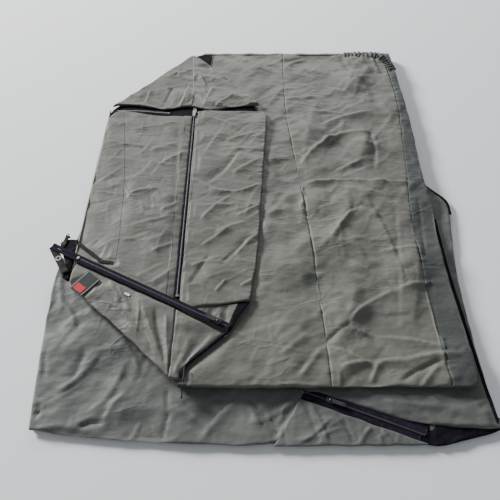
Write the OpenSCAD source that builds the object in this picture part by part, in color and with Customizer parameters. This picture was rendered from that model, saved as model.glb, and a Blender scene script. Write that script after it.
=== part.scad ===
// Bivy sack, folded once across its width for storage, with its hood laid over the upper half.
// Origin: the middle of the footprint on the ground. +X to the right, +Y towards the main fold, +Z up.

/* [Folded bag] */
// Length of the folded bag, from its near edge to the main fold
bag_len = 1110; // [1080:1:1140]
// Thickness of the lower half, its two sheets and the air between them
lower_t = 13.6; // [12:0.1:16]
// Thickness of the upper half
upper_t = 14; // [12:0.1:16]
// Thickness of the hood and of its peak, laid on the upper half
hood_t = 9.6; // [8:0.1:12]
// Clearance between bodies that fold against each other
fold_gap = 0.3; // [0.2:0.05:0.5]

/* [Zips] */
// Thickness of a zip tape
tape_t = 1; // [0.6:0.1:1.2]
// Width of the closed coil, both halves together
coil_w = 4; // [3:0.1:4.4]
// Thickness of the coil
coil_t = 1.4; // [1:0.1:1.6]
// Width of the groove that the entry zip lies in
entry_w = 28; // [24:1:34]
// Width of the zip band between the hood and its peak
band_w = 16; // [14:0.5:18]
// Width of the groove that the front zip lies in
front_w = 15; // [14:0.5:18]

/* [Sliders and pullers] */
// Length of a slider
slider_l = 15; // [12:0.5:18]
// Width of a slider
slider_w = 10; // [9:0.5:11]
// Length of a puller, from its pin to its tip
puller_l = 28; // [20:1:32]
// Width of a puller
puller_w = 7; // [5:0.5:8]

/* [Corner fittings] */
// Width of the webbing
webbing_w = 15; // [12:0.5:16]
// Thickness of the webbing
webbing_t = 1.8; // [1.2:0.1:2]
// Radius of the eyelet's hole
eyelet_r = 3; // [2.5:0.1:3.4]
// Radius of the eyelet's flanges
eyelet_flange_r = 6.5; // [5.5:0.1:7]
// Radius of the wire of the D-ring
ring_wire_r = 1.1; // [0.8:0.05:1.2]
// Mean radius of the D-ring's bow
ring_r = 6.5; // [6:0.1:8]

/* [Drawcord] */
// Diameter of the drawcord
cord_d = 2.5; // [2:0.1:3]
// Radius of the cord lock's barrel
lock_r = 5.5; // [5:0.1:6]
// Length of the cord lock's barrel
lock_l = 12; // [10:0.5:14]

/* [Hidden] */

olive = "#7e8277";
shade_olive = "#5f645c";
black = "#1d1b22";
steel = "#c9ccd0";
big = 2000;

// Heights of the layers, from the ground up
sheet_t = 6;
fold_y = bag_len / 2;
near_y = fold_gap - fold_y;
upper_z = lower_t + 2 * fold_gap;
upper_top = upper_z + upper_t;
hood_z = upper_top + fold_gap;
lining_t = 2;
hood_top = hood_z + hood_t;
patch_top = hood_top - 3.2;

// The hood opens about its left edge, and the peak about the near side of the zip band
hood_hinge_x = -384;
band_a = [-432, -165];
band_b = [-57, -352];
band_dir = (band_b - band_a) / norm(band_b - band_a);
band_up = [-band_dir[1], band_dir[0]];
band_angle = atan2(band_dir[1], band_dir[0]);

// The entry zip runs from under the upper half to the lower half's near right corner
entry_a = [75, -455];
entry_b = [300, -540];
entry_len = norm(entry_b - entry_a);
entry_dir = (entry_b - entry_a) / entry_len;
entry_angle = atan2(entry_dir[1], entry_dir[0]);
entry_floor = sheet_t + 2.5;
entry_slider_at = 58;

// The front zip runs along the middle of the hood, and its far end stands in the hood's mouth
front_x = -161;
front_near = -275;
front_far = 286;
front_zip_far = 298;
front_slider_y = 288;

// A slider's proportions, above the top of its coil
slider_drop = 1.2;
slider_rise = 2.8;
pin_r = 0.8;
eye_r = 1.9;
eye_w = 3.2;
pin_gap = 0.3;
ear_t = 0.8;

lower_outline = [
    [-402, -527], [-300, -540], [-118, -551], [54, near_y], [192, -554], [324, near_y],
    [422, -529], [417, -398], [421, -195], [444, -45], [444, -9], [418, 25], [397, 60],
    [397, fold_y - fold_gap], [-150, fold_y - fold_gap], [-376, 296], [-386, 60], [-396, -132],
    [-430, -175], [-416, -377]];

upper_outline = [
    [-150, -452], [-137, -457], [130, -456], [384, -457], [400, -440], [401, -344], [394, -215],
    [396, -100], [405, 0], [397, 25], [406, 279], [402, 405], [397, 545], [380, fold_y - fold_gap],
    [-140, fold_y - fold_gap], [-162, 540], [-376, 292], [-384.3, 280], [-384.3, -236],
    [-330, -285], [-250, -346]];

gusset_outline = [[359, 13], [366, 77], [388, 358], [379, 535], [420, 535], [420, 25]];

// The strip of the hood, its crown beyond the mouth, and its peak on this side of the band
strip_outline = [
    [-383.7, band_y(-383.7)], band_b + [0, 0.4], [-34, -311], [-16, -284], [2, -163], [13, 38],
    [29, 250], [25, front_far], [-383.7, front_far]];
crown_outline = [
    [-381, 301], [-165, 299], [-20, 303], [11, 304], [-4, 333], [-51, 397], [-93, 437],
    [-178, 536], [-186, 534]];
peak_outline = [
    [-376, band_y(-376)], band_b, [-90, -384], [-135, -424], [-134, -443], [-148, -446],
    [-168, -436], [-251, -357], [-329, -293], [-377, -252], [-382, -240], [-382, -212]];
lining_outline = [
    [-383.7, -184], [-66, -343], [-38, -309], [-20, -283], [-2, -163], [9, 38], [24, 250],
    [6, 300], [-10, 332], [-56, 394], [-112, 478], [-134, 542], [-176, 530], [-378, 298]];

panel_seam_path = [[80, 492], [78, 296], [103, 44], [117, -104], [129, -345], [132, -430]];
gusset_seam_path = [
    [385, 462], [385, 358], [362, 77], [355, 13], [343, -158], [344, -280], [348, -376], [347, -430]];
elastic_path = [[367, 536], [384, 515], [391, 470]];
hood_hem_path = [[-57, -346], [-37, -311], [-20, -284]];
hood_hem_w = 8;
peak_hem_path = [[-50, -343.6], [-92, -380], [-138, -419], [-137, -452]];
peak_hem_w = 10;

// The hanging tape, bent once beside the band
hang_tape_paths = [[[-380, -147], [-325, -193]], [[-326, -192], [-302, -194]]];
hang_tape_w = 8;
hang_tape_t = 0.9;

// Corner fittings: the eyelet's tab, and the tab that holds the D-ring
tab_low = [-394, -219];
tab_high = [-436, -153];
tab_len = norm(tab_high - tab_low);
tab_angle = atan2(tab_high[1] - tab_low[1], tab_high[0] - tab_low[0]);
tab_z = patch_top + fold_gap;
eyelet_from_low = 42;
ring_at = [-409, -126];
ring_tab_a = [-414, -152];
ring_z = hood_top - 3.4;
ring_bar = 14;
loop_r = 3;
loop_bore_r = 1.5;
loop_w = 8.4;

// The patch, which is sewn down over the upper half's left edge
patch_outline = [
    [-384.3, -131], [-404, -131], [-420, -140], [-424, -146], [-394, -200], [-402, -226],
    [-393, -234], [-384.3, -236]];
patch_tuck = 2;

// The label hangs from its sewn edge, beside the band
label_at = [-333, -227];
label_w = 34;
label_l = 50;
label_turn = 233;
label_t = 0.8;

// The drawcord leaves the peak's hem, lies on the cloth and hangs over the tip
cord_exit_z = hood_top + cord_d / 2 + 0.1;
cord_slope_a = [-135, -446, cord_exit_z - 0.25];
cord_slope_b = [-137, -474, cord_exit_z - 12];
cord_dir = (cord_slope_b - cord_slope_a) / norm(cord_slope_b - cord_slope_a);
cord_route = [
    [-134, -421, cord_exit_z], [-134.3, -431, cord_exit_z], [-134.6, -441, cord_exit_z],
    cord_slope_a, cord_slope_b];
cord_tilt = -atan2(cord_dir[2], norm([cord_dir[0], cord_dir[1]]));
knot_r = 2.2;
lock_on_cord = 10.5;
lock_at = cord_slope_a + lock_on_cord * cord_dir;
button_r = 3.6;
button_rise = 3;
button_travel = 1.8;
button_reach = 2.6;
lock_end_wall = 1.5;
cord_bore_r = cord_d / 2 + 0.35;

function entry_point(s, t) = entry_a + s * entry_dir + t * [-entry_dir[1], entry_dir[0]];
function band_y(x) = band_a[1] + (x - band_a[0]) * (band_b[1] - band_a[1]) / (band_b[0] - band_a[0]);

// The normals of a path's points, and the outline of a ribbon of one width along it
function unit(v) = v / norm(v);
function along(p, i) = unit(p[min(i + 1, len(p) - 1)] - p[max(i - 1, 0)]);
function side(p, i) = [-along(p, i)[1], along(p, i)[0]];
function ribbon(p, w) = concat(
    [for (i = [0:len(p) - 1]) p[i] + side(p, i) * w / 2],
    [for (i = [len(p) - 1:-1:0]) p[i] - side(p, i) * w / 2]);

// A tube of n sides swept along the points of a route
function ring_axes(t) = let (a = unit(cross(t, [1, 0, 0.01]))) [a, cross(t, a)];
function ring_points(p, i, r, n) = let (ax = ring_axes(along(p, i)))
    [for (k = [0:n - 1]) p[i] + r * (cos(360 * k / n) * ax[0] + sin(360 * k / n) * ax[1])];

module tube(p, r, n) {
    points = [for (i = [0:len(p) - 1]) each ring_points(p, i, r, n)];
    last = (len(p) - 1) * n;
    faces = concat(
        [[for (k = [0:n - 1]) k]],
        [for (i = [0:len(p) - 2]) for (k = [0:n - 1])
            [i * n + k, (i + 1) * n + k, (i + 1) * n + (k + 1) % n, i * n + (k + 1) % n]],
        [[for (k = [n - 1:-1:0]) last + k]]);
    polyhedron(points, faces);
}

module slab(outline, z, t) translate([0, 0, z]) linear_extrude(t) polygon(outline);

// The half-plane on one side of a vertical line at x
module left_of(x) translate([x - big, -big / 2]) square(big);
module right_of(x) translate([x, -big / 2]) square(big);

// A strip along +X from a to b, with its edges at s and t
module strip(a, b, s, t, z, h) translate([a, s, z]) cube([b - a, t - s, h]);

module on_entry() translate([entry_a[0], entry_a[1], 0]) rotate(entry_angle) children();
module on_band() translate([band_a[0], band_a[1], 0]) rotate(band_angle) children();

// The hood's band starts just inside the hood's hinge and ends at the right hand hem
band_from = (-382.5 - band_a[0]) / band_dir[0];
band_to = norm(band_b - band_a) - 5;
band_mid = 0.6 + band_w / 2;
band_top = hood_top + tape_t + coil_t;
band_slider_at = band_to - 22;

// The entry zip's groove follows the zip, then opens out to the near right corner
module entry_groove_2d() polygon([
    entry_point(-18, entry_w / 2), entry_point(190, entry_w / 2), [385, -524], [460, -530],
    [460, -590], [291, -590], entry_point(236, -entry_w / 2), entry_point(-18, -entry_w / 2)]);
module front_groove_2d() translate([front_x - front_w / 2, band_b[1]])
    square([front_w, front_far + 1 - band_b[1]]);
module beyond_band() on_band() translate([-big / 2, -fold_gap]) square([big, 40]);

// ---- Lower half ----

module floor_panel() color(shade_olive) slab(lower_outline, 0, sheet_t);

module lower_top_panel() color(olive) translate([0, 0, sheet_t]) linear_extrude(lower_t - sheet_t)
    difference() {
        polygon(lower_outline);
        entry_groove_2d();
    }

module entry_lining() color(black) translate([0, 0, sheet_t]) linear_extrude(entry_floor - sheet_t)
    intersection() {
        polygon(lower_outline);
        entry_groove_2d();
    }

module entry_tape_near() color(black) on_entry()
    strip(2, 222, -entry_w / 2 + 1.5, -0.1, entry_floor, tape_t);

module entry_tape_far() color(black) on_entry()
    strip(2, 232, 0.1, entry_w / 2 - 1.5, entry_floor, tape_t);

module entry_coil() color(black) on_entry()
    strip(8, 228, -coil_w / 2, coil_w / 2, entry_floor + tape_t, coil_t);

module entry_stop() color(steel) on_entry()
    strip(3, 7.8, -3, 3, entry_floor + tape_t, coil_t + 0.6);

// ---- Sliders and pullers ----

// A slider that travels along +X, with its coil's top at z = 0 and its puller's pin at z = pin_z
module slider(pin_z) {
    ear_in = eye_w / 2 + pin_gap;
    difference() {
        translate([0, 0, -slider_drop]) linear_extrude(slider_rise + slider_drop)
            polygon([[-slider_l / 2, -slider_w / 3], [-1, -slider_w / 2], [slider_l / 2, -slider_w / 2],
                [slider_l / 2, slider_w / 2], [-1, slider_w / 2], [-slider_l / 2, slider_w / 3]]);
        translate([-slider_l, -coil_w / 2 - 0.4, -big]) cube([2 * slider_l, coil_w + 0.8, big + 0.4]);
    }
    for (s = [-1, 1]) translate([-2, s > 0 ? ear_in : -ear_in - ear_t, slider_rise])
        cube([4, ear_t, pin_z + 1.2 - slider_rise]);
    translate([0, -ear_in, pin_z]) rotate([-90, 0, 0]) cylinder(h = 2 * ear_in, r = pin_r, $fn = 32);
}

// A flat puller that points along +X, with its eye on the pin at the origin
module puller() {
    shank_t = 1.4;
    difference() {
        union() {
            rotate([90, 0, 0]) translate([0, 0, -eye_w / 2]) cylinder(h = eye_w, r = eye_r, $fn = 32);
            translate([1.2, -eye_w / 2, -shank_t / 2]) cube([4, eye_w, shank_t]);
            translate([5, -puller_w / 2, -shank_t / 2]) cube([puller_l - 5 - puller_w / 2, puller_w, shank_t]);
            translate([puller_l - puller_w / 2, 0, -shank_t / 2]) cylinder(h = shank_t, d = puller_w, $fn = 32);
        }
        rotate([90, 0, 0]) translate([0, 0, -eye_w]) cylinder(h = 2 * eye_w, r = pin_r + pin_gap, $fn = 32);
        translate([puller_l - puller_w / 2, 0, -shank_t]) cylinder(h = 2 * shank_t, r = 1.6, $fn = 32);
    }
}

entry_pin = 5;
band_pin = 5;
front_pin = 6.8;
entry_top = entry_floor + tape_t + coil_t;
front_floor = hood_z + lining_t;
front_top = front_floor + tape_t + coil_t;

module at_entry_slider(z) on_entry() translate([entry_slider_at, 0, z]) children();
module at_front_slider(z) translate([front_x, front_slider_y, z]) rotate(-90) children();
module at_band_slider(z) on_band() translate([band_slider_at, band_mid, z]) rotate(180) children();

module entry_slider() color(black) at_entry_slider(entry_top) slider(entry_pin);
module entry_puller() color(black) at_entry_slider(entry_top + entry_pin) puller();
module front_slider() color(steel) at_front_slider(front_top) slider(front_pin);
module front_puller() color(steel) at_front_slider(front_top + front_pin) puller();
module band_slider() color(black) at_band_slider(band_top) slider(band_pin);
module band_puller() color(black) at_band_slider(band_top + band_pin) puller();

// ---- Upper half ----

module upper_floor_panel() color(shade_olive) slab(upper_outline, upper_z, sheet_t);

module upper_top_panel() color(olive) translate([0, 0, upper_z + sheet_t]) linear_extrude(upper_t - sheet_t)
    difference() {
        polygon(upper_outline);
        polygon(gusset_outline);
    }

module side_gusset() color(shade_olive) translate([0, 0, upper_z + sheet_t])
    linear_extrude(upper_t - sheet_t) intersection() {
        polygon(upper_outline);
        polygon(gusset_outline);
    }

module panel_seam() color(shade_olive) slab(ribbon(panel_seam_path, 3), upper_top, 0.6);
module gusset_seam() color(shade_olive) slab(ribbon(gusset_seam_path, 3), upper_top, 0.6);
module hem_elastic() color(shade_olive) slab(ribbon(elastic_path, 9), upper_top, 2);

// The left corner, where the webbing tabs and the end of the band are sewn down
module corner_patch() color(olive)
    slab(patch_outline, upper_top - patch_tuck, patch_top - upper_top + patch_tuck);

module band_end_tape() color(black) on_band()
    strip((-411 - band_a[0]) / band_dir[0], (-392.5 - band_a[0]) / band_dir[0],
        0.6, band_w - 0.6, patch_top, tape_t + 0.4);

module ring_webbing() color(black) {
    turn = atan2(ring_at[1] - ring_tab_a[1], ring_at[0] - ring_tab_a[0]);
    reach = norm(ring_at - ring_tab_a);
    translate([ring_tab_a[0], ring_tab_a[1], patch_top]) rotate(turn)
        translate([0, -loop_w / 2, 0]) cube([reach - loop_bore_r - 0.6, loop_w, webbing_t - 0.2]);
    translate([ring_at[0], ring_at[1], ring_z]) rotate(turn) rotate([90, 0, 0])
        difference() {
            translate([0, 0, -loop_w / 2]) cylinder(h = loop_w, r = loop_r, $fn = 48);
            translate([0, 0, -loop_w]) cylinder(h = 2 * loop_w, r = loop_bore_r, $fn = 48);
        }
}

module d_ring() color(steel) {
    turn = atan2(ring_at[1] - ring_tab_a[1], ring_at[0] - ring_tab_a[0]);
    translate([ring_at[0], ring_at[1], ring_z]) rotate(turn) {
        rotate([90, 0, 0]) translate([0, 0, -ring_bar / 2])
            cylinder(h = ring_bar, r = ring_wire_r, $fn = 32);
        intersection() {
            rotate_extrude($fn = 64) translate([ring_r, 0]) circle(r = ring_wire_r, $fn = 32);
            translate([0, -big / 2, -big / 2]) cube(big);
        }
    }
}

module eyelet_webbing() color(black)
    translate([tab_low[0], tab_low[1], tab_z]) rotate(tab_angle) difference() {
        union() {
            translate([0, -webbing_w / 2, 0]) cube([tab_len, webbing_w, webbing_t]);
            translate([tab_len - 2, webbing_w / 2, -0.2]) rotate([90, 0, 0])
                cylinder(h = webbing_w, r = 2.8, $fn = 48);
        }
        translate([eyelet_from_low, 0, -big / 2]) cylinder(h = big, r = eyelet_r + 0.8, $fn = 64);
    }

module eyelet() color(steel)
    translate([tab_low[0], tab_low[1], tab_z]) rotate(tab_angle) translate([eyelet_from_low, 0, -0.8])
        difference() {
            union() {
                cylinder(h = 0.8, r = eyelet_flange_r, $fn = 64);
                cylinder(h = webbing_t + 1.4, r = eyelet_r + 0.8, $fn = 64);
                translate([0, 0, webbing_t + 0.8]) cylinder(h = 0.6, r = eyelet_flange_r, $fn = 64);
            }
            translate([0, 0, -big / 2]) cylinder(h = big, r = eyelet_r, $fn = 64);
        }

// ---- Hood ----

module hood_lining() color(black) slab(lining_outline, hood_z, lining_t);

module hood_side() translate([0, 0, front_floor]) linear_extrude(hood_t - lining_t) difference() {
    intersection() {
        polygon(strip_outline);
        children();
    }
    front_groove_2d();
    polygon(ribbon(hood_hem_path, hood_hem_w));
}

module hood_left_panel() color(olive) hood_side() left_of(front_x);
module hood_right_panel() color(olive) hood_side() right_of(front_x);

module crown_side() translate([0, 0, front_floor]) linear_extrude(hood_t - lining_t) intersection() {
    polygon(crown_outline);
    children();
}

module crown_left_panel() color(olive) crown_side() left_of(front_x - 4);
module crown_right_panel() color(olive) crown_side() right_of(front_x - 4);

module storm_flap(at) translate([at, front_near + 3, hood_top])
    cube([12, front_far - front_near - 4, 0.6]);
module storm_flap_left() color(olive) storm_flap(front_x - 4.5 - 12);
module storm_flap_right() color(olive) storm_flap(front_x + 4.5);

module front_tape(from) translate([from, front_near + 1, front_floor])
    cube([front_w / 2 - 0.2, front_zip_far - front_near - 1, tape_t]);
module front_tape_left() color(black) front_tape(front_x - front_w / 2 + 0.1);
module front_tape_right() color(black) front_tape(front_x + 0.1);

module front_coil() color(black) translate([front_x - coil_w / 2, front_near + 8, front_floor + tape_t])
    cube([coil_w, front_zip_far - front_near - 10, coil_t]);

module front_stop() color(steel) translate([front_x - 3, front_near + 2, front_floor + tape_t])
    cube([6, 5, coil_t + 0.6]);

module band_tape_far() color(black) on_band()
    strip(band_from + 1, band_to, band_mid + 0.1, band_w, hood_top, tape_t);
module band_tape_near() color(black) on_band()
    strip(band_from + 1, band_to, 1.2, band_mid - 0.1, hood_top, tape_t);
module band_coil() color(black) on_band() strip(band_from + 8, band_to - 2,
    band_mid - coil_w / 2, band_mid + coil_w / 2, hood_top + tape_t, coil_t);
module band_stop() color(steel) on_band() strip(band_from + 3, band_from + 7.8,
    band_mid - 3, band_mid + 3, hood_top + tape_t, coil_t + 0.6);

module hood_hem() color(black) translate([0, 0, front_floor]) linear_extrude(hood_t - lining_t)
    intersection() {
        polygon(ribbon(hood_hem_path, hood_hem_w));
        polygon(strip_outline);
    }

module hang_tape() color(black) for (p = hang_tape_paths)
    translate([0, 0, hood_top]) linear_extrude(hang_tape_t) difference() {
        polygon(ribbon(p, hang_tape_w));
        on_band() translate([0, -1]) square([big, band_w + 1.2]);
    }

// ---- Peak of the hood ----

module peak_side() translate([0, 0, hood_z]) linear_extrude(hood_t) difference() {
    intersection() {
        polygon(peak_outline);
        children();
    }
    polygon(ribbon(peak_hem_path, peak_hem_w));
    beyond_band();
}

module peak_left_panel() color(olive) peak_side() left_of(front_x);
module peak_right_panel() color(olive) peak_side() right_of(front_x);

module peak_hem() color(black) translate([0, 0, hood_z]) linear_extrude(hood_t) difference() {
    intersection() {
        polygon(ribbon(peak_hem_path, peak_hem_w));
        polygon(peak_outline);
    }
    beyond_band();
}

module care_tag() color("white") translate([-266, -268, hood_top]) rotate(band_angle)
    cube([12, 5, 0.4]);

module on_label() translate([label_at[0], label_at[1], hood_top + fold_gap]) rotate(label_turn) children();

module label_base() color("#3b4240") on_label() translate([0, -label_w / 2, 0]) cube([label_l, label_w, label_t]);
module label_badge() color("#b5202c") on_label() translate([label_l - 18, -label_w / 2 + 4, label_t])
    cube([14, label_w - 10, 0.4]);

// ---- Drawcord and cord lock ----

module drawcord() color(black) tube(cord_route, cord_d / 2, 8);

module cord_end() color(black) difference() {
    translate(cord_slope_b + cord_dir) sphere(r = knot_r, $fn = 32);
    tube(cord_route, cord_d / 2, 8);
}

// Local frame of the lock: the cord runs along -Y, tilted down, and the button's axis is X
module at_lock() translate(lock_at) rotate([cord_tilt, 0, 0]) children();
module cord_bore() rotate([90, 0, 0]) translate([0, 0, -20]) cylinder(h = 40, r = cord_bore_r, $fn = 48);

module lock_body() color(black) at_lock() difference() {
    rotate([0, 90, 0]) translate([0, 0, -lock_l / 2]) cylinder(h = lock_l, r = lock_r, $fn = 64);
    rotate([0, 90, 0]) translate([0, 0, -lock_l / 2 - 1])
        cylinder(h = lock_l + 1 - lock_end_wall, r = button_r + 0.1, $fn = 48);
    cord_bore();
}

module lock_button() color(black) at_lock() difference() {
    rotate([0, 90, 0]) translate([0, 0, -lock_l / 2 - button_rise])
        cylinder(h = lock_l / 2 + button_rise + button_reach, r = button_r, $fn = 48);
    cord_bore();
    translate([-button_travel, 0, 0]) cord_bore();
    translate([-button_travel, -20, -cord_bore_r]) cube([button_travel, 40, 2 * cord_bore_r]);
}

floor_panel();
lower_top_panel();
entry_lining();
entry_tape_near();
entry_tape_far();
entry_coil();
entry_stop();
entry_slider();
entry_puller();
upper_floor_panel();
upper_top_panel();
side_gusset();
panel_seam();
gusset_seam();
hem_elastic();
corner_patch();
band_end_tape();
ring_webbing();
d_ring();
eyelet_webbing();
eyelet();
hood_lining();
hood_left_panel();
hood_right_panel();
crown_left_panel();
crown_right_panel();
storm_flap_left();
storm_flap_right();
front_tape_left();
front_tape_right();
front_coil();
front_stop();
front_slider();
front_puller();
band_tape_far();
band_tape_near();
band_coil();
band_stop();
band_slider();
band_puller();
hood_hem();
hang_tape();
peak_left_panel();
peak_right_panel();
peak_hem();
care_tag();
label_base();
label_badge();
drawcord();
cord_end();
lock_body();
lock_button();
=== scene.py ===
import math

import bmesh
import bpy
import numpy as np
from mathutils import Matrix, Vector


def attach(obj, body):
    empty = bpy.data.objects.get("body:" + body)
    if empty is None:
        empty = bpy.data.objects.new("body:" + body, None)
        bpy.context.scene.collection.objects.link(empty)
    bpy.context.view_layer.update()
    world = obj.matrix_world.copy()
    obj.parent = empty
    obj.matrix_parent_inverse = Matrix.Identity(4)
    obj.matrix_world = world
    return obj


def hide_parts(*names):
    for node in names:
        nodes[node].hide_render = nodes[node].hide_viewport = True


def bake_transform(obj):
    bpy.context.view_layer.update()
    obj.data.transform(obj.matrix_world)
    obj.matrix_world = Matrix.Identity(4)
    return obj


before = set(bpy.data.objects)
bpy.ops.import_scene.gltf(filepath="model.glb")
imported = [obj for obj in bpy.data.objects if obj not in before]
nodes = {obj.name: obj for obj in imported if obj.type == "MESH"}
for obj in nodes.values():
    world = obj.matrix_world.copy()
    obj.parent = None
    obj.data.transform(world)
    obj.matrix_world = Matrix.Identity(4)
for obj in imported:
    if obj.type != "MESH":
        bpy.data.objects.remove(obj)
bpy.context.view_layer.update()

mm = 0.001  # the dictionaries hold millimetres, the meshes metres

camera = dict(x=-15, y=-770, z=905, pitch=55, lens=36, sensor=36)
lights = [  # places and sizes in metres, power in watts
    dict(name="keyLight", at=(-4.6, 3.4, 2.55), aim=(0, 0, 0), size=(1.5, 1.5), power=760),
    dict(name="fillLight", at=(0.7, -1.9, 2.4), aim=(0, -0.1, 0), size=(2.2, 2.2), power=3),
    dict(name="farLight", at=(0.2, 3.6, 1.6), aim=(0, 0, 0), size=(1.4, 1.0), power=55),
]
studio = dict(sky=(0.86, 0.93, 1, 1), skyStrength=0.3, floorHalf=4, floorColor=(0.93, 0.94, 0.95, 1),
              floorRough=0.9)


def makeCamera():
    data = bpy.data.cameras.new("camera")
    data.lens = camera["lens"]
    data.sensor_width = camera["sensor"]
    obj = bpy.data.objects.new("camera", data)
    bpy.context.scene.collection.objects.link(obj)
    obj.location = (camera["x"] * mm, camera["y"] * mm, camera["z"] * mm)
    obj.rotation_euler = (math.radians(90 - camera["pitch"]), 0, 0)
    bpy.context.scene.camera = obj


def makeLights():
    for spec in lights:
        data = bpy.data.lights.new(spec["name"], "AREA")
        data.shape = "RECTANGLE"
        data.size, data.size_y = spec["size"]
        data.energy = spec["power"]
        obj = bpy.data.objects.new(spec["name"], data)
        bpy.context.scene.collection.objects.link(obj)
        obj.location = spec["at"]
        way = Vector(spec["aim"]) - Vector(spec["at"])
        obj.rotation_euler = way.to_track_quat("-Z", "Y").to_euler()
    world = bpy.data.worlds.new("studio")
    bpy.context.scene.world = world
    world.use_nodes = True
    sky = world.node_tree.nodes["Background"]
    sky.inputs["Color"].default_value = studio["sky"]
    sky.inputs["Strength"].default_value = studio["skyStrength"]


def makeFloor():
    half = studio["floorHalf"]
    mesh = bpy.data.meshes.new("floor")
    mesh.from_pydata([(-half, -half, 0), (half, -half, 0), (half, half, 0), (-half, half, 0)], [],
                     [(0, 1, 2, 3)])
    obj = bpy.data.objects.new("floor", mesh)
    bpy.context.scene.collection.objects.link(obj)
    mat = bpy.data.materials.new("paleFloor")
    mat.use_nodes = True
    shader = mat.node_tree.nodes["Principled BSDF"]
    shader.inputs["Base Color"].default_value = studio["floorColor"]
    shader.inputs["Roughness"].default_value = studio["floorRough"]
    mesh.materials.append(mat)


makeCamera()
makeLights()
makeFloor()
print("camera, light and floor made")


def feed(tree, target, **links):
    # a socket's name is written with _ for its spaces, or i and its number; a value is a number, a tuple or
    # another socket
    for key, value in links.items():
        socket = target.inputs[int(key[1:])] if key[0] == "i" and key[1:].isdigit() else \
            target.inputs[key.replace("_", " ")]
        if isinstance(value, bpy.types.NodeSocket):
            tree.links.new(value, socket)
        else:
            socket.default_value = value
    return target


def add(tree, kind, settings=None, **links):
    # one node, its settings and what feeds it
    made = tree.nodes.new("ShaderNode" + kind)
    for key, value in (settings or {}).items():
        setattr(made, key, value)
    return feed(tree, made, **links)


def newGroup(name, inputs, outputs):
    # inputs: each name and its value; outputs: names; all are numbers
    tree = bpy.data.node_groups.new(name, "ShaderNodeTree")
    for label, value in inputs.items():
        socket = tree.interface.new_socket(name=label, in_out="INPUT", socket_type="NodeSocketFloat")
        socket.default_value = value
    for label in outputs:
        tree.interface.new_socket(name=label, in_out="OUTPUT", socket_type="NodeSocketFloat")
    place = add(tree, "TexCoord").outputs["Object"]
    return tree, tree.nodes.new("NodeGroupInput").outputs, tree.nodes.new("NodeGroupOutput"), place


def mathNode(tree, how, a, b=0.0):
    return add(tree, "Math", dict(operation=how), i0=a, i1=b).outputs[0]


def clothGroup():
    # weave: two crossed sets of waves; crinkle: long hollows that meet in ridges, as in a coated cloth that
    # was stuffed in its sack; creases: thin lines where long cells meet, broken up by noise
    tree, inside, out, place = newGroup("cloth", {"Weave Pitch": 0.6, "Crinkle Size": 30.0},
                                        ["Weave", "Crinkle", "Creases", "Mottle"])
    size = inside["Crinkle Size"]
    scale = mathNode(tree, "DIVIDE", 1000 / 6.3, inside["Weave Pitch"])  # the pitch is in millimetres
    waves = [add(tree, "TexWave", dict(bands_direction=way, wave_profile="SIN"), Vector=place, Scale=scale,
                 Distortion=0.25, Detail=1.0).outputs["Fac"] for way in ("X", "Y")]
    bend = add(tree, "TexNoise", Vector=place, Scale=11.0, Detail=3.0)
    bent = add(tree, "Mix", dict(data_type="RGBA", blend_type="LINEAR_LIGHT"), i0=0.014, i6=place,
               i7=bend.outputs["Color"]).outputs[2]
    total = None
    for turn, long, times, part in ((0.5, 0.45, 1.0, 0.5), (-0.7, 0.5, 1.9, 0.3), (1.4, 0.6, 3.7, 0.2)):
        laid = add(tree, "Mapping", Vector=bent, Rotation=(0, 0, turn), Scale=(long, 1, 1))
        hollow = add(tree, "TexVoronoi", dict(feature="F1"), Vector=laid.outputs[0],
                     Scale=mathNode(tree, "MULTIPLY", size, times))
        share = mathNode(tree, "MULTIPLY", hollow.outputs["Distance"], part)
        total = share if total is None else mathNode(tree, "ADD", total, share)
    lines = None
    for turn, long in ((0.35, 0.4), (-0.5, 0.45)):
        laid = add(tree, "Mapping", Vector=bent, Rotation=(0, 0, turn), Location=(turn, 0, 0), Scale=(long, 1, 1))
        cell = add(tree, "TexVoronoi", dict(feature="DISTANCE_TO_EDGE"), Vector=laid.outputs[0],
                   Scale=mathNode(tree, "MULTIPLY", size, 0.62))
        line = add(tree, "MapRange", Value=cell.outputs["Distance"], From_Min=0.0, From_Max=0.045,
                   To_Min=1.0, To_Max=0.0).outputs[0]
        lines = line if lines is None else mathNode(tree, "MAXIMUM", lines, line)
    where = add(tree, "TexNoise", Vector=place, Scale=9.0, Detail=2.0)
    gate = add(tree, "MapRange", Value=where.outputs["Fac"], From_Min=0.5, From_Max=0.66)
    mottle = add(tree, "TexNoise", Vector=place, Scale=7.0, Detail=5.0, Roughness=0.6)
    feed(tree, out, Weave=mathNode(tree, "MAXIMUM", *waves), Crinkle=total,
         Creases=mathNode(tree, "MULTIPLY", lines, gate.outputs[0]), Mottle=mottle.outputs["Fac"])
    return tree


def dustGroup():
    # a few pale specks and a faint bloom of dust
    tree, inside, out, place = newGroup("dust", {"Amount": 0.2, "Size": 260.0}, ["Dust"])
    speck = add(tree, "TexNoise", Vector=place, Scale=inside["Size"], Detail=2.0)
    bloom = add(tree, "TexNoise", Vector=place, Scale=5.0, Detail=3.0)
    sharp = add(tree, "MapRange", Value=speck.outputs["Fac"], From_Min=0.6, From_Max=0.75)
    both = mathNode(tree, "MULTIPLY", sharp.outputs[0], bloom.outputs["Fac"])
    feed(tree, out, Dust=mathNode(tree, "MULTIPLY", both, inside["Amount"]))
    return tree


def wearGroup():
    # scratches: long thin noise; tarnish: soft patches
    tree, inside, out, place = newGroup("wear", {"Scale": 400.0}, ["Scratch", "Tarnish"])
    long = add(tree, "Mapping", Vector=place, Scale=(1, 0.12, 1))
    fine = add(tree, "TexNoise", Vector=long.outputs[0], Scale=inside["Scale"], Detail=4.0)
    soft = add(tree, "TexNoise", Vector=place, Scale=90.0, Detail=3.0)
    feed(tree, out, Scratch=fine.outputs["Fac"], Tarnish=soft.outputs["Fac"])
    return tree


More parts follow.
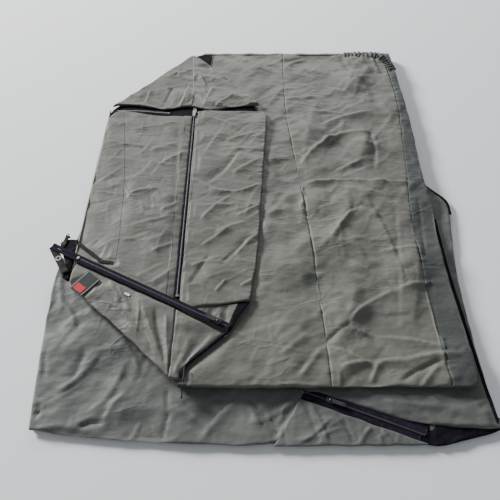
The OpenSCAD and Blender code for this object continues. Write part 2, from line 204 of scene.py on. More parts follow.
cloth, dust, wear = clothGroup(), dustGroup(), wearGroup()


def mixColor(tree, amount, a, b):
    # a colour is three numbers or a socket
    a, b = [c if isinstance(c, bpy.types.NodeSocket) else (*c, 1) for c in (a, b)]
    return add(tree, "Mix", dict(data_type="RGBA"), i0=amount, i6=a, i7=b).outputs[2]


def newMaterial(name):
    mat = bpy.data.materials.new(name)
    mat.use_nodes = True
    return mat, mat.node_tree, mat.node_tree.nodes["Principled BSDF"]


def bumped(tree, *layers):
    # bumps one on the other, each (height socket, depth in metres, strength)
    normal = None
    for high, depth, strength in layers:
        bump = add(tree, "Bump", Height=high, Distance=depth, Strength=strength)
        if normal is not None:
            tree.links.new(normal, bump.inputs["Normal"])
        normal = bump.outputs[0]
    return normal


def clothMaterial(name, dark, light, rough=0.58, pitch=0.6, weave=0.25, crinkle=1.0, size=30.0,
                  depth=0.0022, dusty=0.15, sheen=0.1, specular=0.5):
    mat, tree, shader = newMaterial(name)
    feel = add(tree, "Group", dict(node_tree=cloth), Weave_Pitch=pitch, Crinkle_Size=size).outputs
    specks = add(tree, "Group", dict(node_tree=dust), Amount=dusty).outputs
    tone = add(tree, "MapRange", Value=feel["Mottle"], From_Min=0.3, From_Max=0.7)
    base = mixColor(tree, tone.outputs[0], dark, light)
    worn = mixColor(tree, mathNode(tree, "MULTIPLY", feel["Creases"], 0.07), base,
                    tuple(min(1, c * 1.5 + 0.02) for c in light))
    dusted = mixColor(tree, specks["Dust"], worn, (0.5, 0.5, 0.47))
    gloss = add(tree, "MapRange", Value=feel["Mottle"], To_Min=rough - 0.07, To_Max=rough + 0.09)
    normal = bumped(tree, (feel["Crinkle"], depth, crinkle), (feel["Creases"], 0.0005, crinkle),
                    (feel["Weave"], 0.00008, weave))
    feed(tree, shader, Base_Color=dusted, Roughness=gloss.outputs[0], Normal=normal)
    shader.inputs["Sheen Weight"].default_value = sheen
    shader.inputs["Sheen Roughness"].default_value = 0.4
    shader.inputs["Specular IOR Level"].default_value = specular
    return mat


def hardMaterial(name, color, rough, metallic=1.0, tint=(0.25, 0.24, 0.22)):
    mat, tree, shader = newMaterial(name)
    feel = add(tree, "Group", dict(node_tree=wear)).outputs
    worn = mixColor(tree, mathNode(tree, "MULTIPLY", feel["Tarnish"], 0.45), color, tint)
    gloss = add(tree, "MapRange", Value=feel["Scratch"], To_Min=rough - 0.08, To_Max=rough + 0.15)
    normal = bumped(tree, (feel["Scratch"], 0.00005, 0.4))
    feed(tree, shader, Base_Color=worn, Roughness=gloss.outputs[0], Normal=normal)
    shader.inputs["Metallic"].default_value = metallic
    return mat


clothFinishes = dict(  # each key is a paint: its material's name, its darkest and lightest colour, and its feel
    shell=("shellCloth", (0.113, 0.115, 0.097), (0.152, 0.153, 0.13), dict(rough=0.56, specular=0.4)),
    # the lower half's top: the shell cloth painted darker and cooler, painted shade for the near side that gets
    # less light
    lowerShell=("shadedLowerShellCloth", (0.09, 0.096, 0.087), (0.125, 0.131, 0.12), dict(rough=0.58, specular=0.36)),
    # the bottom sheets: darker than the shell, painted shade under the top sheets' edges
    floor=("shadedFloorCloth", (0.075, 0.08, 0.068), (0.1, 0.105, 0.09), dict(rough=0.62)),
    # the side gusset and the elastic: much darker than the shell, painted shade of a side face turned away from
    # the key light
    gusset=("shadedGussetCloth", (0.05, 0.055, 0.053), (0.075, 0.082, 0.078), dict(rough=0.6, specular=0.3)),
    seam=("seamCloth", (0.12, 0.125, 0.11), (0.15, 0.155, 0.135), dict(rough=0.5, crinkle=0.2)),
    lining=("liningCloth", (0.005, 0.005, 0.008), (0.011, 0.01, 0.014),
            dict(rough=0.7, dusty=0.05, sheen=0.0, specular=0.06, depth=0.004)),
    tape=("zipTape", (0.011, 0.008, 0.016), (0.024, 0.018, 0.034),
          dict(rough=0.85, pitch=1.1, weave=0.8, crinkle=0.1, dusty=0.08, sheen=0.0, specular=0.08)),
    webbing=("webbingWeave", (0.011, 0.01, 0.011), (0.024, 0.022, 0.023),
             dict(rough=0.8, pitch=1.4, weave=1.0, crinkle=0.1, dusty=0.2, sheen=0.0, specular=0.2)),
    tanThread=("tanThread", (0.2, 0.13, 0.07), (0.32, 0.22, 0.13), dict(rough=0.7, pitch=0.4, crinkle=0.0)),
    paleThread=("paleThread", (0.3, 0.31, 0.3), (0.45, 0.46, 0.44), dict(rough=0.7, pitch=0.4, crinkle=0.0)),
    cord=("cordBraid", (0.012, 0.012, 0.014), (0.03, 0.028, 0.032),
          dict(rough=0.65, pitch=0.9, weave=1.0, crinkle=0.0, dusty=0.3)),
    label=("labelWeave", (0.03, 0.04, 0.037), (0.046, 0.058, 0.054),
           dict(rough=0.75, pitch=0.8, weave=0.7, crinkle=0.1, dusty=0.05, sheen=0.0, specular=0.2)),
    badge=("badgeWeave", (0.46, 0.012, 0.03), (0.62, 0.03, 0.055),
           dict(rough=0.6, pitch=0.8, weave=0.8, crinkle=0.1, dusty=0.05, sheen=0.0, specular=0.25)),
    careTag=("careTagSatin", (0.68, 0.68, 0.66), (0.82, 0.82, 0.8), dict(rough=0.45, pitch=0.5, crinkle=0.1)),
)
hardFinishes = dict(  # each key is a paint: its material's name, its colour, its roughness and the rest
    coil=("coilNylon", (0.02, 0.019, 0.024), 0.4, dict(metallic=0.0, tint=(0.05, 0.05, 0.055))),
    steel=("zipSteel", (0.42, 0.42, 0.41), 0.34, {}),
    nickel=("nickel", (0.8, 0.8, 0.79), 0.2, {}),
    blackMetal=("blackEnamel", (0.03, 0.03, 0.034), 0.35, dict(metallic=0.0, tint=(0.08, 0.08, 0.085))),
    plastic=("lockPlastic", (0.018, 0.018, 0.02), 0.38, dict(metallic=0.0, tint=(0.04, 0.042, 0.045))),
)
paints = {key: clothMaterial(name, dark, light, **rest)
          for key, (name, dark, light, rest) in clothFinishes.items()}
paints.update({key: hardMaterial(name, color, rough, **rest)
               for key, (name, color, rough, rest) in hardFinishes.items()})
print("materials made")


def makeObject(name, verts, faces, paint):
    mesh = bpy.data.meshes.new(name)
    mesh.from_pydata((np.asarray(verts) * mm).tolist(), [], faces)
    mesh.polygons.foreach_set("use_smooth", np.ones(len(mesh.polygons), bool))
    mesh.materials.append(paints[paint])
    obj = bpy.data.objects.new(name, mesh)
    bpy.context.scene.collection.objects.link(obj)
    return obj


def rounded(points, passes=2):
    # cuts each corner at a quarter of its sides, the ends staying put
    p = np.asarray(points, float)
    for _ in range(passes):
        a, b = p[:-1], p[1:]
        cut = np.stack([0.75 * a + 0.25 * b, 0.25 * a + 0.75 * b], 1).reshape(-1, p.shape[1])
        p = np.concatenate([p[:1], cut[1:-1], p[-1:]])
    return p


def spaced(points, at):
    # the points of a line at shares 0 to 1 of its length
    p = np.asarray(points, float)
    run = np.concatenate([[0], np.cumsum(np.linalg.norm(np.diff(p, axis=0), axis=1))])
    return np.stack([np.interp(np.asarray(at) * run[-1], run, p[:, k]) for k in range(p.shape[1])], 1)


def lineLength(points):
    # the sum of the distances from each point to the next
    return np.linalg.norm(np.diff(np.asarray(points, float), axis=0), axis=1).sum()


toTheEnd = 1e9  # a span that runs to the end of its side


def steps(length, rim, spans):
    # shares of a length: close together within the rim at both ends, then each span at its own step
    edge = rim * (1 - np.cos(np.linspace(0, math.pi / 2, 6)))
    inner, start = [], rim
    for end, step in spans:
        stop = min(end, length - rim)
        if stop > start:
            inner.append(np.linspace(start, stop, max(2, int(round((stop - start) / step)) + 1))[1:])
            start = stop
    middle = np.concatenate(inner)[:-1]
    return np.concatenate([edge, middle, length - edge[::-1]]) / length


def patch(near, right, far, left, rim, across, along):
    # a point is the sum of the straight blends between facing edges, less the blend of the corners
    u, v = steps(lineLength(near), rim, across), steps(lineLength(left), rim, along)
    n, f = spaced(near, u), spaced(far, u)
    l, r = spaced(left, v), spaced(right, v)
    uu, vv = u[None, :, None], v[:, None, None]
    facing = (1 - vv) * n[None] + vv * f[None] + (1 - uu) * l[:, None] + uu * r[:, None]
    corners = ((1 - uu) * (1 - vv) * n[0] + uu * (1 - vv) * n[-1]
               + (1 - uu) * vv * f[0] + uu * vv * f[-1])
    flat = facing - corners
    width = np.linalg.norm(r - l, axis=1)[:, None]
    depth = np.linalg.norm(f - n, axis=1)[None, :]
    inside = np.minimum(np.minimum(u[None] * width, (1 - u[None]) * width),
                        np.minimum(v[:, None] * depth, (1 - v[:, None]) * depth))
    return flat[..., 0], flat[..., 1], inside


def gridFaces(index):
    # the four corners of each cell of a grid of vertex numbers
    a, b, c, d = index[:-1, :-1], index[:-1, 1:], index[1:, 1:], index[1:, :-1]
    return np.stack([a, b, c, d], -1).reshape(-1, 4)


def tubeFaces(rings, sides):
    # each ring joined to the next all the way round, and a cap on both ends
    ring = np.arange(rings * sides).reshape(rings, sides)
    walls = gridFaces(np.concatenate([ring, ring[:, :1]], 1)).tolist()
    return walls + [list(range(sides)), list(range((rings - 1) * sides, rings * sides))[::-1]]


def edgesOf(shape):
    return [shape[side] for side in ("near", "right", "far", "left")]


def pillow(name, edges, low, high, rim, paint, relief=None, across=5, along=5, passes=2, sag=None):
    # top and bottom sheets over one grid, joined along a rim whose section is a quarter ellipse each way;
    # the relief is added to the top, and sag to both
    spans = [s if isinstance(s, list) else [(toTheEnd, s)] for s in (across, along)]
    x, y, inside = patch(*[rounded(e, passes) for e in edges], rim, *spans)
    rise = np.sqrt(1 - (1 - np.clip(inside / rim, 0, 1)) ** 2)
    middle = (low + high) / 2
    x, y = x + wander[0](x, y), y + wander[1](x, y)
    bump = relief(x, y) if relief else 0 * x
    top = middle + (high - middle) * rise + bump * np.clip(inside / rim, 0, 1) ** 0.5
    bottom = middle - (middle - low) * rise
    top = np.maximum(top, bottom + 0.3 * rise)
    if sag is not None:
        shift = sag(x, y)
        top, bottom = top + shift, bottom + shift
    count = x.size
    upper = np.arange(count).reshape(x.shape)
    edge = np.zeros(x.shape, bool)
    edge[0] = edge[-1] = True
    edge[:, 0] = edge[:, -1] = True
    keep = ~edge.ravel()
    lower = np.where(edge, upper, (np.cumsum(keep) - 1 + count).reshape(x.shape))
    verts = np.concatenate([np.stack([x, y, top], -1).reshape(-1, 3),
                            np.stack([x, y, bottom], -1).reshape(-1, 3)[keep]])
    faces = np.concatenate([gridFaces(upper), gridFaces(lower)[:, ::-1]])
    return makeObject(name, verts, faces.tolist(), paint)


def sweep(name, path, section, paint, up=(0, 0, 1)):
    # a closed section (across, up) carried along a path; each ring stands square to the path
    p, s = np.asarray(path, float), np.asarray(section, float)
    t = np.gradient(p, axis=0)
    t /= np.linalg.norm(t, axis=1)[:, None]
    side = np.cross(np.asarray(up, float), t)
    side /= np.linalg.norm(side, axis=1)[:, None]
    top = np.cross(t, side)
    if s.ndim == 2:
        s = np.broadcast_to(s, (len(p), *s.shape))
    verts = (p[:, None] - s[..., :1] * side[:, None] + s[..., 1:] * top[:, None]).reshape(-1, 3)
    return makeObject(name, verts, tubeFaces(len(p), s.shape[1]), paint)


def flatSection(width, thick):
    # a thin bar with round edges, counter-clockwise
    r = thick / 2
    turn = np.linspace(-90, 90, 5) * math.pi / 180
    right = np.stack([width / 2 - r + r * np.cos(turn), r * np.sin(turn)], 1)
    return np.concatenate([right, -right])


def circleSection(radius, sides=10):
    # points at even turns round a circle
    turn = np.arange(sides) * 2 * math.pi / sides
    return radius * np.stack([np.cos(turn), np.sin(turn)], 1)


def linePath(points, z, step=5.0, wave=0.0, passes=3):
    # a rounded line at one level or at the points' own levels, with a slow ripple
    p = np.asarray(points, float)
    if p.shape[1] == 2:
        p = np.column_stack([p, np.full(len(p), float(z))])
    p = rounded(p, passes) if len(p) > 2 else p
    at = spaced(p, np.linspace(0, 1, max(4, int(lineLength(p) / step))))
    at[:, 2] += wave * np.sin(at[:, 0] * 0.21 + at[:, 1] * 0.17)
    return at


def tape(name, points, width, thick, z, paint, wave=0.0, step=5.0):
    # a flat section carried along a rounded line, its underside at z
    return sweep(name, linePath(points, z + thick / 2, step, wave), flatSection(width, thick), paint)


def coil(name, points, z, width, thick, pitch, paint):
    # a wound coil drawn as a bar whose section swells and shrinks once in each turn
    path = linePath(points, z + thick / 2, pitch / 4)
    swell = 1 + 0.16 * np.sin(np.arange(len(path)) * math.pi / 2)
    section = circleSection(1, 8)[None] * np.stack([swell * width / 2, swell * thick / 2], 1)[:, None]
    return sweep(name, path, section, paint)


def stitches(name, points, z, width, thick, pitch, paint, lie=None):
    # a row of stitches: a thread that dips between one stitch and the next, on cloth that rises by lie
    path = linePath(points, z, pitch / 6)
    if lie:
        path[:, 2] += lie(path[:, 0], path[:, 1])
    turn = np.arange(len(path)) * math.pi / 3
    path[:, 2] += thick * (np.abs(np.sin(turn / 2)) - 0.6)
    return sweep(name, path, flatSection(width, thick), paint)


foldDepth = 1.35  # how deep the drawn folds are, as a share of what each list gives
farAway = 1e9


def swell(seed, size, depth):
    # a slow swell: eight seeded plane waves
    rng = np.random.default_rng(seed)
    waves = [(rng.uniform(0, 2 * math.pi), rng.uniform(0.6, 1.7) / size, rng.uniform(0, 6.3))
             for _ in range(8)]

    def heightAt(x, y):
        total = np.zeros_like(x)
        for turn, rate, phase in waves:
            total += np.sin(2 * math.pi * rate * (x * math.cos(turn) + y * math.sin(turn)) + phase)
        return depth * total / 3
    return heightAt


def ridge(x, y, a, b, depth, steep=4.0, gentle=14.0, bow=0.0):
    # a fold from a to b: a roof with one steep and one gentle side, its crest slightly rounded, fading
    # towards both ends and bowed sideways by a share of its length
    dx, dy = b[0] - a[0], b[1] - a[1]
    length = math.hypot(dx, dy)
    dx, dy = dx / length, dy / length
    s = ((x - a[0]) * dx + (y - a[1]) * dy) / length * 2 - 1
    t = -(x - a[0]) * dy + (y - a[1]) * dx - bow * length * (1 - s * s)
    fade = np.clip(1.12 - np.abs(s) ** 3, 0, 1)
    fade = fade * fade * (3 - 2 * fade)
    t = np.sqrt(t * t + 0.8) * np.sign(t)
    roof = np.clip(1 - np.where(t > 0, t / steep, -t / gentle), 0, 1)
    return depth * fade * roof * (0.35 + 0.65 * roof)


def crumple(x, y, area, sets, seed):
    # scattered folds of both kinds, ridges and valleys, each set with its own heading and size
    rng = np.random.default_rng(seed)
    bend = swell(seed + 1, 140, 7)
    xw, yw = x + bend(x, y), y + bend(y, x)
    total = np.zeros_like(x)
    for count, heading, spread, long, depth, width in sets:
        for _ in range(count):
            at = np.array([rng.uniform(area[0], area[2]), rng.uniform(area[1], area[3])])
            turn = math.radians(rng.normal(heading, spread))
            reach = rng.uniform(*long) / 2
            way = np.array([math.cos(turn), math.sin(turn)]) * reach
            deep = rng.uniform(*depth) * rng.choice([1, 1, -0.8])
            steep = rng.uniform(*width)
            total += ridge(xw, yw, at - way, at + way, deep, steep, steep * rng.uniform(2.2, 4.5),
                           rng.uniform(-0.12, 0.12))
    return total


def facets(x, y, seed, size, depth, heading=0.0, stretch=1.7):
    # flat three-sided faces that meet in crisp folds: seeded heights at the corners of a lattice of triangles,
    # long along the heading and bent, joined by planes
    table = np.random.default_rng(seed).uniform(-1, 1, (61, 61))
    bend = swell(seed + 1, 2.2 * size, 0.22 * size)
    xw, yw = x + bend(x, y), y + bend(y, x)
    c, s = math.cos(math.radians(heading)), math.sin(math.radians(heading))
    p, q = (xw * c + yw * s) / size / stretch, (-xw * s + yw * c) / size
    p = p + 0.5 * q
    i, j = np.floor(p).astype(int), np.floor(q).astype(int)
    u, v = p - i, q - j
    corner = [[table[(i + a) % 61, (j + b) % 61] for b in (0, 1)] for a in (0, 1)]
    lower = corner[0][0] + u * (corner[1][0] - corner[0][0]) + v * (corner[0][1] - corner[0][0])
    upper = corner[1][1] + (1 - u) * (corner[0][1] - corner[1][1]) + (1 - v) * (corner[1][0] - corner[1][1])
    return depth * np.where(u + v < 1, lower, upper)


def wrinkled(x, y, plan, share=foldDepth):
    # the sum of a slow swell, flat faces, scattered folds, broad bulges and the drawn folds of one piece
    total = swell(*plan["swell"])(x, y) if "swell" in plan else np.zeros_like(x)
    for face in plan.get("facets", []):
        total += facets(x, y, *face)
    for where, seed, sets in plan.get("scattered", []):
        total += crumple(x, y, where, sets, seed)
    for line in plan.get("bulges", []):
        total += ridge(x, y, *line)
    for line in plan["folds"]:
        total += share * ridge(x, y, *line)
    return total


def puckers(x, y, path, seed, reach=16, depth=1.0, size=14):
    # short folds square to a seam, which die away from it; the seam itself lies in a shallow dip
    best, along = distanceTo(x, y, path)
    rng = np.random.default_rng(seed)
    ripple = np.zeros_like(x)
    for _ in range(5):
        ripple += np.sin(2 * math.pi * along / (size * rng.uniform(0.6, 2.4)) + rng.uniform(0, 6.3)
                         + 0.03 * best)
    ripple = np.sign(ripple) * np.abs(ripple / 3) ** 0.8
    return depth * ripple * np.exp(-best / reach) - 0.9 * depth * np.exp(-best / 3.0)


def distanceTo(x, y, path):
    # distance to a line, and how far along it the nearest point is
    p = np.asarray(path, float)
    best, along, run = np.full(x.shape, farAway), np.zeros_like(x), 0.0
    for a, b in zip(p[:-1], p[1:]):
        d = b - a
        length = np.linalg.norm(d)
        s = np.clip(((x - a[0]) * d[0] + (y - a[1]) * d[1]) / length, 0, length)
        far = np.hypot(x - a[0] - s * d[0] / length, y - a[1] - s * d[1] / length)
        near = far < best
        best, along = np.where(near, far, best), np.where(near, run + s, along)
        run += length
    return best, along


def softFloor(total, level, ease=1.4):
    # no valley runs deeper than the level: level + ease * log(1 + exp((total - level) / ease))
    return level + ease * np.logaddexp(0, (total - level) / ease)


def shore(x, y, outline):
    # distance to the nearest side of a closed outline, positive inside it
    p = np.asarray(outline, float)
    best, crossings = np.full(x.shape, farAway), np.zeros(x.shape, int)
    for a, b in zip(p, np.roll(p, -1, axis=0)):
        d = b - a
        s = np.clip(((x - a[0]) * d[0] + (y - a[1]) * d[1]) / (d @ d), 0, 1)
        best = np.minimum(best, np.hypot(x - a[0] - s * d[0], y - a[1] - s * d[1]))
        if d[1]:
            crossings += ((a[1] > y) != (b[1] > y)) & (x < a[0] + (y - a[1]) * d[0] / d[1])
    return np.where(crossings % 2 == 1, best, -best)


def blanket(make, cover, margin, lid):
    # the relief kept under a lid where something lies on the cloth, and free beside it
    def heightAt(x, y):
        free = np.clip((-shore(x, y, cover) - margin) / 14, 0, 1)
        full = make(x, y)
        return np.minimum(full, lid) * (1 - free) + full * free if lid is not None else full * free
    return heightAt


wander = swell(21, 55, 0.55), swell(22, 60, 0.7)  # every cut edge strays a little, the same in all the pieces


upperOutline = [
    (-150, -452), (-137, -457), (130, -456), (384, -457), (400, -440), (401, -344), (394, -215),
    (396, -100), (405, 0), (397, 25), (406, 279), (402, 405), (397, 545), (380, 554), (-140, 554),
    (-162, 540), (-376, 292), (-384, 280), (-384, -236), (-330, -285), (-250, -346)]
hoodOutline = [
    (-384, -240), (-330, -293), (-251, -357), (-168, -436), (-134, -446), (-135, -424), (-90, -384),
    (-57, -352), (-34, -311), (-16, -284), (2, -163), (13, 38), (29, 250), (25, 286), (11, 304),
    (-4, 333), (-51, 397), (-93, 437), (-178, 540), (-384, 290)]
panelSeam = [(80, 553), (80, 492), (78, 296), (103, 44), (117, -104), (129, -345), (133, -456)]
gussetSeam = [(372, 553), (378, 470), (385, 358), (372, 180), (362, 77), (355, 13), (350, -40), (343, -158),
              (344, -280), (348, -376), (350, -456)]
bandStart, bandEnd = np.array([-432.0, -165.0]), np.array([-57.0, -352.0])
bandWay = (bandEnd - bandStart) / np.linalg.norm(bandEnd - bandStart)
bandUp = np.array([-bandWay[1], bandWay[0]])
bandLength = float(np.linalg.norm(bandEnd - bandStart))
entryStart, entryEnd = np.array([75.0, -455.0]), np.array([300.0, -540.0])
entryWay = (entryEnd - entryStart) / np.linalg.norm(entryEnd - entryStart)
entryUp = np.array([-entryWay[1], entryWay[0]])


def onBand(s, t):
    # s along the zip band from its left end, t across it towards the far side
    return tuple(bandStart + s * bandWay + t * bandUp)


def onEntry(s, t):
    # the same for the entry zip
    return tuple(entryStart + s * entryWay + t * entryUp)


bandMid = 8.6  # from the line between bandStart and bandEnd to the middle of the coil
lids = [  # what lies on the hood: its line, how far it keeps the cloth low, and how high the cloth may rise there
    ([onBand(0, bandMid), onBand(bandLength, bandMid)], 12, 0.6), ([(-161, -300), (-161, 290)], 20, 0.8),
    ([(-384, -144), (-323, -193), (-300, -195)], 7, 0.9), ([(-333, -227), (-363, -267)], 20, 1.2),
    ([(-134, -410), (-135, -450)], 6, 0.5)]


def lidOver(x, y):
    # how high the hood's folds may rise: a low level beside each line, growing with the distance past its reach
    lid = np.full(x.shape, 5.5)
    for path, reach, level in lids:
        far = distanceTo(x, y, path)[0]
        lid = np.minimum(lid, level + 5 * np.clip((far - reach) / 14, 0, 1))
    return lid


def finish(obj, slot, body, *stands):
    if stands:
        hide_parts(*stands)
    if body:
        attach(obj, body)
    return obj


def area(*edges):
    # the flat area inside four edges laid end to end, in square metres
    near, right, far, left = [np.asarray(e, float) for e in edges]
    p = np.concatenate([near, right, far[::-1], left[::-1]])
    x, y = p[:, 0], p[:, 1]
    return abs(np.sum(x * np.roll(y, -1) - y * np.roll(x, -1))) / 2 * 1e-6


drawcord = dict(
    # the route's points and the cord's diameter, as in the CAD model
    route=[(-134, -421, 39.45), (-134.3, -431, 39.45), (-134.6, -441, 39.45), (-135, -446, 39.2),
           (-135.2, -448.76, 38.04), (-137, -474, 27.45)],
    diameter=2.5, braid=0.1, rings=60, sides=12,
)


def makeDrawcord():
    # a tube whose radius ripples a little, as a braid's does
    spec = drawcord
    rings = np.arange(spec["rings"])[:, None]
    route = spaced(rounded(spec["route"], 2), np.linspace(0, 1, spec["rings"]))
    turn = np.arange(spec["sides"]) * 2 * math.pi / spec["sides"]
    radius = spec["diameter"] / 2 - spec["braid"] * (1 + np.sin(turn[None] * 4 + rings * 1.1)) / 2
    section = radius[..., None] * np.stack([np.cos(turn), np.sin(turn)], 1)[None]
    cord = sweep("drawcordBraid", route, section, "cord")
    finish(cord, "cord", "peak", "drawcord")


makeDrawcord()
print("drawcord made")


def clothPiece(name, edges, levels, paint, slot, body, node, rests=(), held="folded", **grid):
    # a pillow between two levels with its rim, riding on its body in place of a CAD piece
    obj = pillow(name, edges, *levels, paint, **grid)
    finish(obj, slot, body, node)
    return obj


lowerRight = [(417, -398), (421, -195), (444, -45), (444, -9), (418, 25), (397, 60), (397, 553)]
lowerLeft = [(-416, -377), (-430, -175), (-396, -132), (-386, 60), (-376, 296), (-150, 553)]
lowerFar = [(-150, 553), (397, 553)]
lowerHalf = dict(
    bottom=dict(
        near=[(-401, -523), (-300, -535), (-118, -546), (54, -549), (192, -548), (324, -549), (421, -525)],
        right=[(421, -525), *lowerRight], far=lowerFar, left=[(-401, -523), *lowerLeft]),
    top=dict(
        near=[(-402, -527), (-300, -540), (-118, -551), (36, -554), (56, -520), (74, -480), (84, -452),
              (150, -473), (258, -512), (330, -520), (385, -525), (425, -524)],
        right=[(425, -524), *lowerRight], far=lowerFar, left=[(-402, -527), *lowerLeft]),
    swell=(31, 170, 2.0),  # seed, size, depth
    facets=[(311, 80, 3.6, 38), (312, 40, 2.4, -12, 1.9), (313, 21, 0.9, 60, 2.0)],
    scattered=[  # where, seed, then sets of: count, heading, spread, lengths, depths, widths
        ((-435, -556, 60, -150), 5, [
            (34, 60, 30, (60, 170), (0.9, 2.6), (4, 8)), (30, 10, 30, (50, 150), (0.8, 2.2), (4, 7)),
            (50, 45, 50, (25, 60), (0.6, 1.4), (2.5, 4))]),
        ((380, -530, 450, 40), 6, [(30, 80, 25, (30, 110), (0.8, 2.0), (3, 6))]),
        ((60, -530, 440, -440), 8, [(26, 10, 30, (30, 120), (0.7, 1.8), (3, 6))])],
    folds=[  # from, to, depth, steep side, gentle side, bow
        ((-406, -379), (-395, -434), -3.0, 7, 9, 0), ((-394, -480), (-394, -510), -3.5, 5, 8, 0.1),
        ((-300, -385), (-365, -463), 3.0, 8, 24, 0.05), ((-317, -523), (-274, -514), -3.2, 4, 10, 0.1),
        ((-274, -514), (-239, -457), 3.2, 4, 16, 0.1), ((-170, -545), (-160, -493), -3.0, 4, 8, 0),
        ((-163, -493), (-168, -455), -2.6, 4, 9, 0), ((-158, -484), (-76, -531), 2.8, 4, 16, 0.05),
        ((-311, -379), (-255, -369), 2.2, 5, 14, 0), ((-387, -337), (-336, -293), 2.6, 6, 18, 0.1),
        ((-289, -337), (-219, -429), 2.6, 6, 22, 0.1), ((-380, -524), (-293, -530), 2.4, 6, 12, 0.05),
        ((-221, -545), (-208, -511), 2.6, 4, 10, 0), ((-101, -545), (-42, -475), 2.6, 4, 16, 0.05),
        ((-24, -466), (40, -545), -2.8, 4, 14, 0.05), ((-15, -479), (6, -528), 2.2, 4, 12, 0),
        ((70, -475), (-15, -519), 2.6, 3, 14, 0.05), ((219, -475), (394, -493), 2.4, 5, 16, 0),
        ((311, -463), (325, -484), 2.0, 3, 8, 0), ((-401, -270), (-357, -337), 3.0, 8, 22, 0.1),
        ((-332, -369), (-346, -438), -2.6, 6, 14, 0.1), ((-250, -400), (-300, -500), 2.6, 6, 26, 0.1),
        ((-350, -250), (-240, -380), 2.4, 8, 24, 0.0), ((330, -500), (420, -470), 2.0, 4, 12, 0),
        ((260, -460), (300, -500), -1.8, 4, 10, 0), ((-420, -180), (-392, -300), 2.0, 6, 12, 0)],
)
entryLip = dict(
    near=[(26, -554), (150, -554), (291, -552)],
    right=[(291, -552), (292, -550)],
    far=[(76, -469), (180, -508), (292, -550)],
    left=[(26, -554), (47, -520), (74, -470)],
    folds=[((93, -475), (122, -553), 2.0, 3, 12, 0.03), ((80, -470), (105, -553), -1.8, 3, 8, 0.03),
           ((173, -553), (198, -519), 2.2, 5, 10, 0.05), ((130, -505), (70, -550), 2.0, 4, 12, 0.05),
           ((150, -500), (165, -552), -1.6, 4, 9, 0), ((215, -525), (235, -553), 1.8, 4, 9, 0)],
    scattered=[((30, -555, 290, -470), 12, [
        (26, 80, 30, (30, 90), (0.7, 1.8), (2.5, 5)), (12, 0, 20, (30, 90), (0.6, 1.4), (3, 5))])],
)
entryLining = dict(
    near=[(58, -478), (180, -524), (286, -553), (326, -553.5), (424, -527)],
    right=[(424, -527), (428, -505)],
    far=[(66, -432), (260, -500), (385, -512), (428, -505)],
    left=[(58, -478), (66, -432)],
    where=(290, -556, 430, -500), sets=[(16, 10, 30, (30, 110), (0.8, 2.2), (3, 6))], seed=15,
)
edgeLinings = dict(  # the black edges that show beside the upper half; the side strip, under the upper half's right edge, is lining and painted shadow of that edge
    shoulder=[(404, 46), (422, 25), (443, 2), (447, -14), (446, -42)],
    side=[(405, -60), (403, -190), (408, -300), (414, -440), (420, -515)],
)


def lowerWrinkles(x, y):
    # low beside the black strip of its right edge, which is lining and painted shadow
    beside = distanceTo(x, y, edgeLinings["side"])[0]
    return np.minimum(wrinkled(x, y, lowerHalf), 0.6 + 5 * np.clip((beside - 5) / 14, 0, 1))


def liningWrinkles(x, y):
    # wrinkled only where the lining comes out from under the lips
    folds = crumple(x, y, entryLining["where"], entryLining["sets"], entryLining["seed"])
    return np.clip(folds, -1.4, 3.4) * np.clip((x - 285) / 20, 0, 1)


def makeLowerHalf():
    # the bottom sheet is darker than the top: painted shade under its edge
    clothPiece("lowerFloorSheet", edgesOf(lowerHalf["bottom"]), (0, 7.2, 3.6), "floor", "floor", "lower_half",
               "floor_panel", across=13, along=[(200, 8), (toTheEnd, 16)], passes=3)
    onFloor = ["lowerFloorSheet"]
    # the top sheet and the lip take the shell cloth with painted shade
    clothPiece("lowerTopSheet", edgesOf(lowerHalf["top"]), (6.3, 12.2, 5), "lowerShell", "shell", "lower_half",
               "lower_top_panel", onFloor, relief=blanket(lowerWrinkles, upperOutline, -4, 0.9),
               across=4.3, along=[(420, 4.3), (toTheEnd, 11)])
    clothPiece("entryNearLip", edgesOf(entryLip), (6.3, 11.6, 3.6), "lowerShell", "shell", "lower_half",
               "lower_top_panel", onFloor, relief=lambda x, y: wrinkled(x, y, entryLip), across=3.4, along=3)
    clothPiece("entrySlotLining", edgesOf(entryLining), (6.1, 8.3, 1.4), "lining", "lining", "lower_half",
               "entry_lining", onFloor, "laid", relief=liningWrinkles, across=4, along=3)
    shoulder = tape("shoulderLining", edgeLinings["shoulder"], 7, 3.4, 6.8, "lining", step=3)
    finish(shoulder, "lining", "lower_half")
    # a black strip under the upper half's right edge: lining, and painted shadow of that edge
    side = tape("sideLiningAndShadow", edgeLinings["side"], 6, 1.8, 12.6, "lining", 0.3, 3)
    finish(side, "lining", "lower_half")


zips = dict(
    entry=dict(z=8.5, width=12.4, thick=0.9, coilWidth=4.2, coilThick=1.9, pitch=2.6),
    front=dict(x=-161, z=30.5, near=-274, far=297, width=7.1, thick=0.9, coilWidth=4.0, coilThick=1.7, pitch=2.4),
    band=dict(z=38.15, thick=0.9, width=7.7, coilWidth=3.0, coilThick=0.9, pitch=2.2),
)


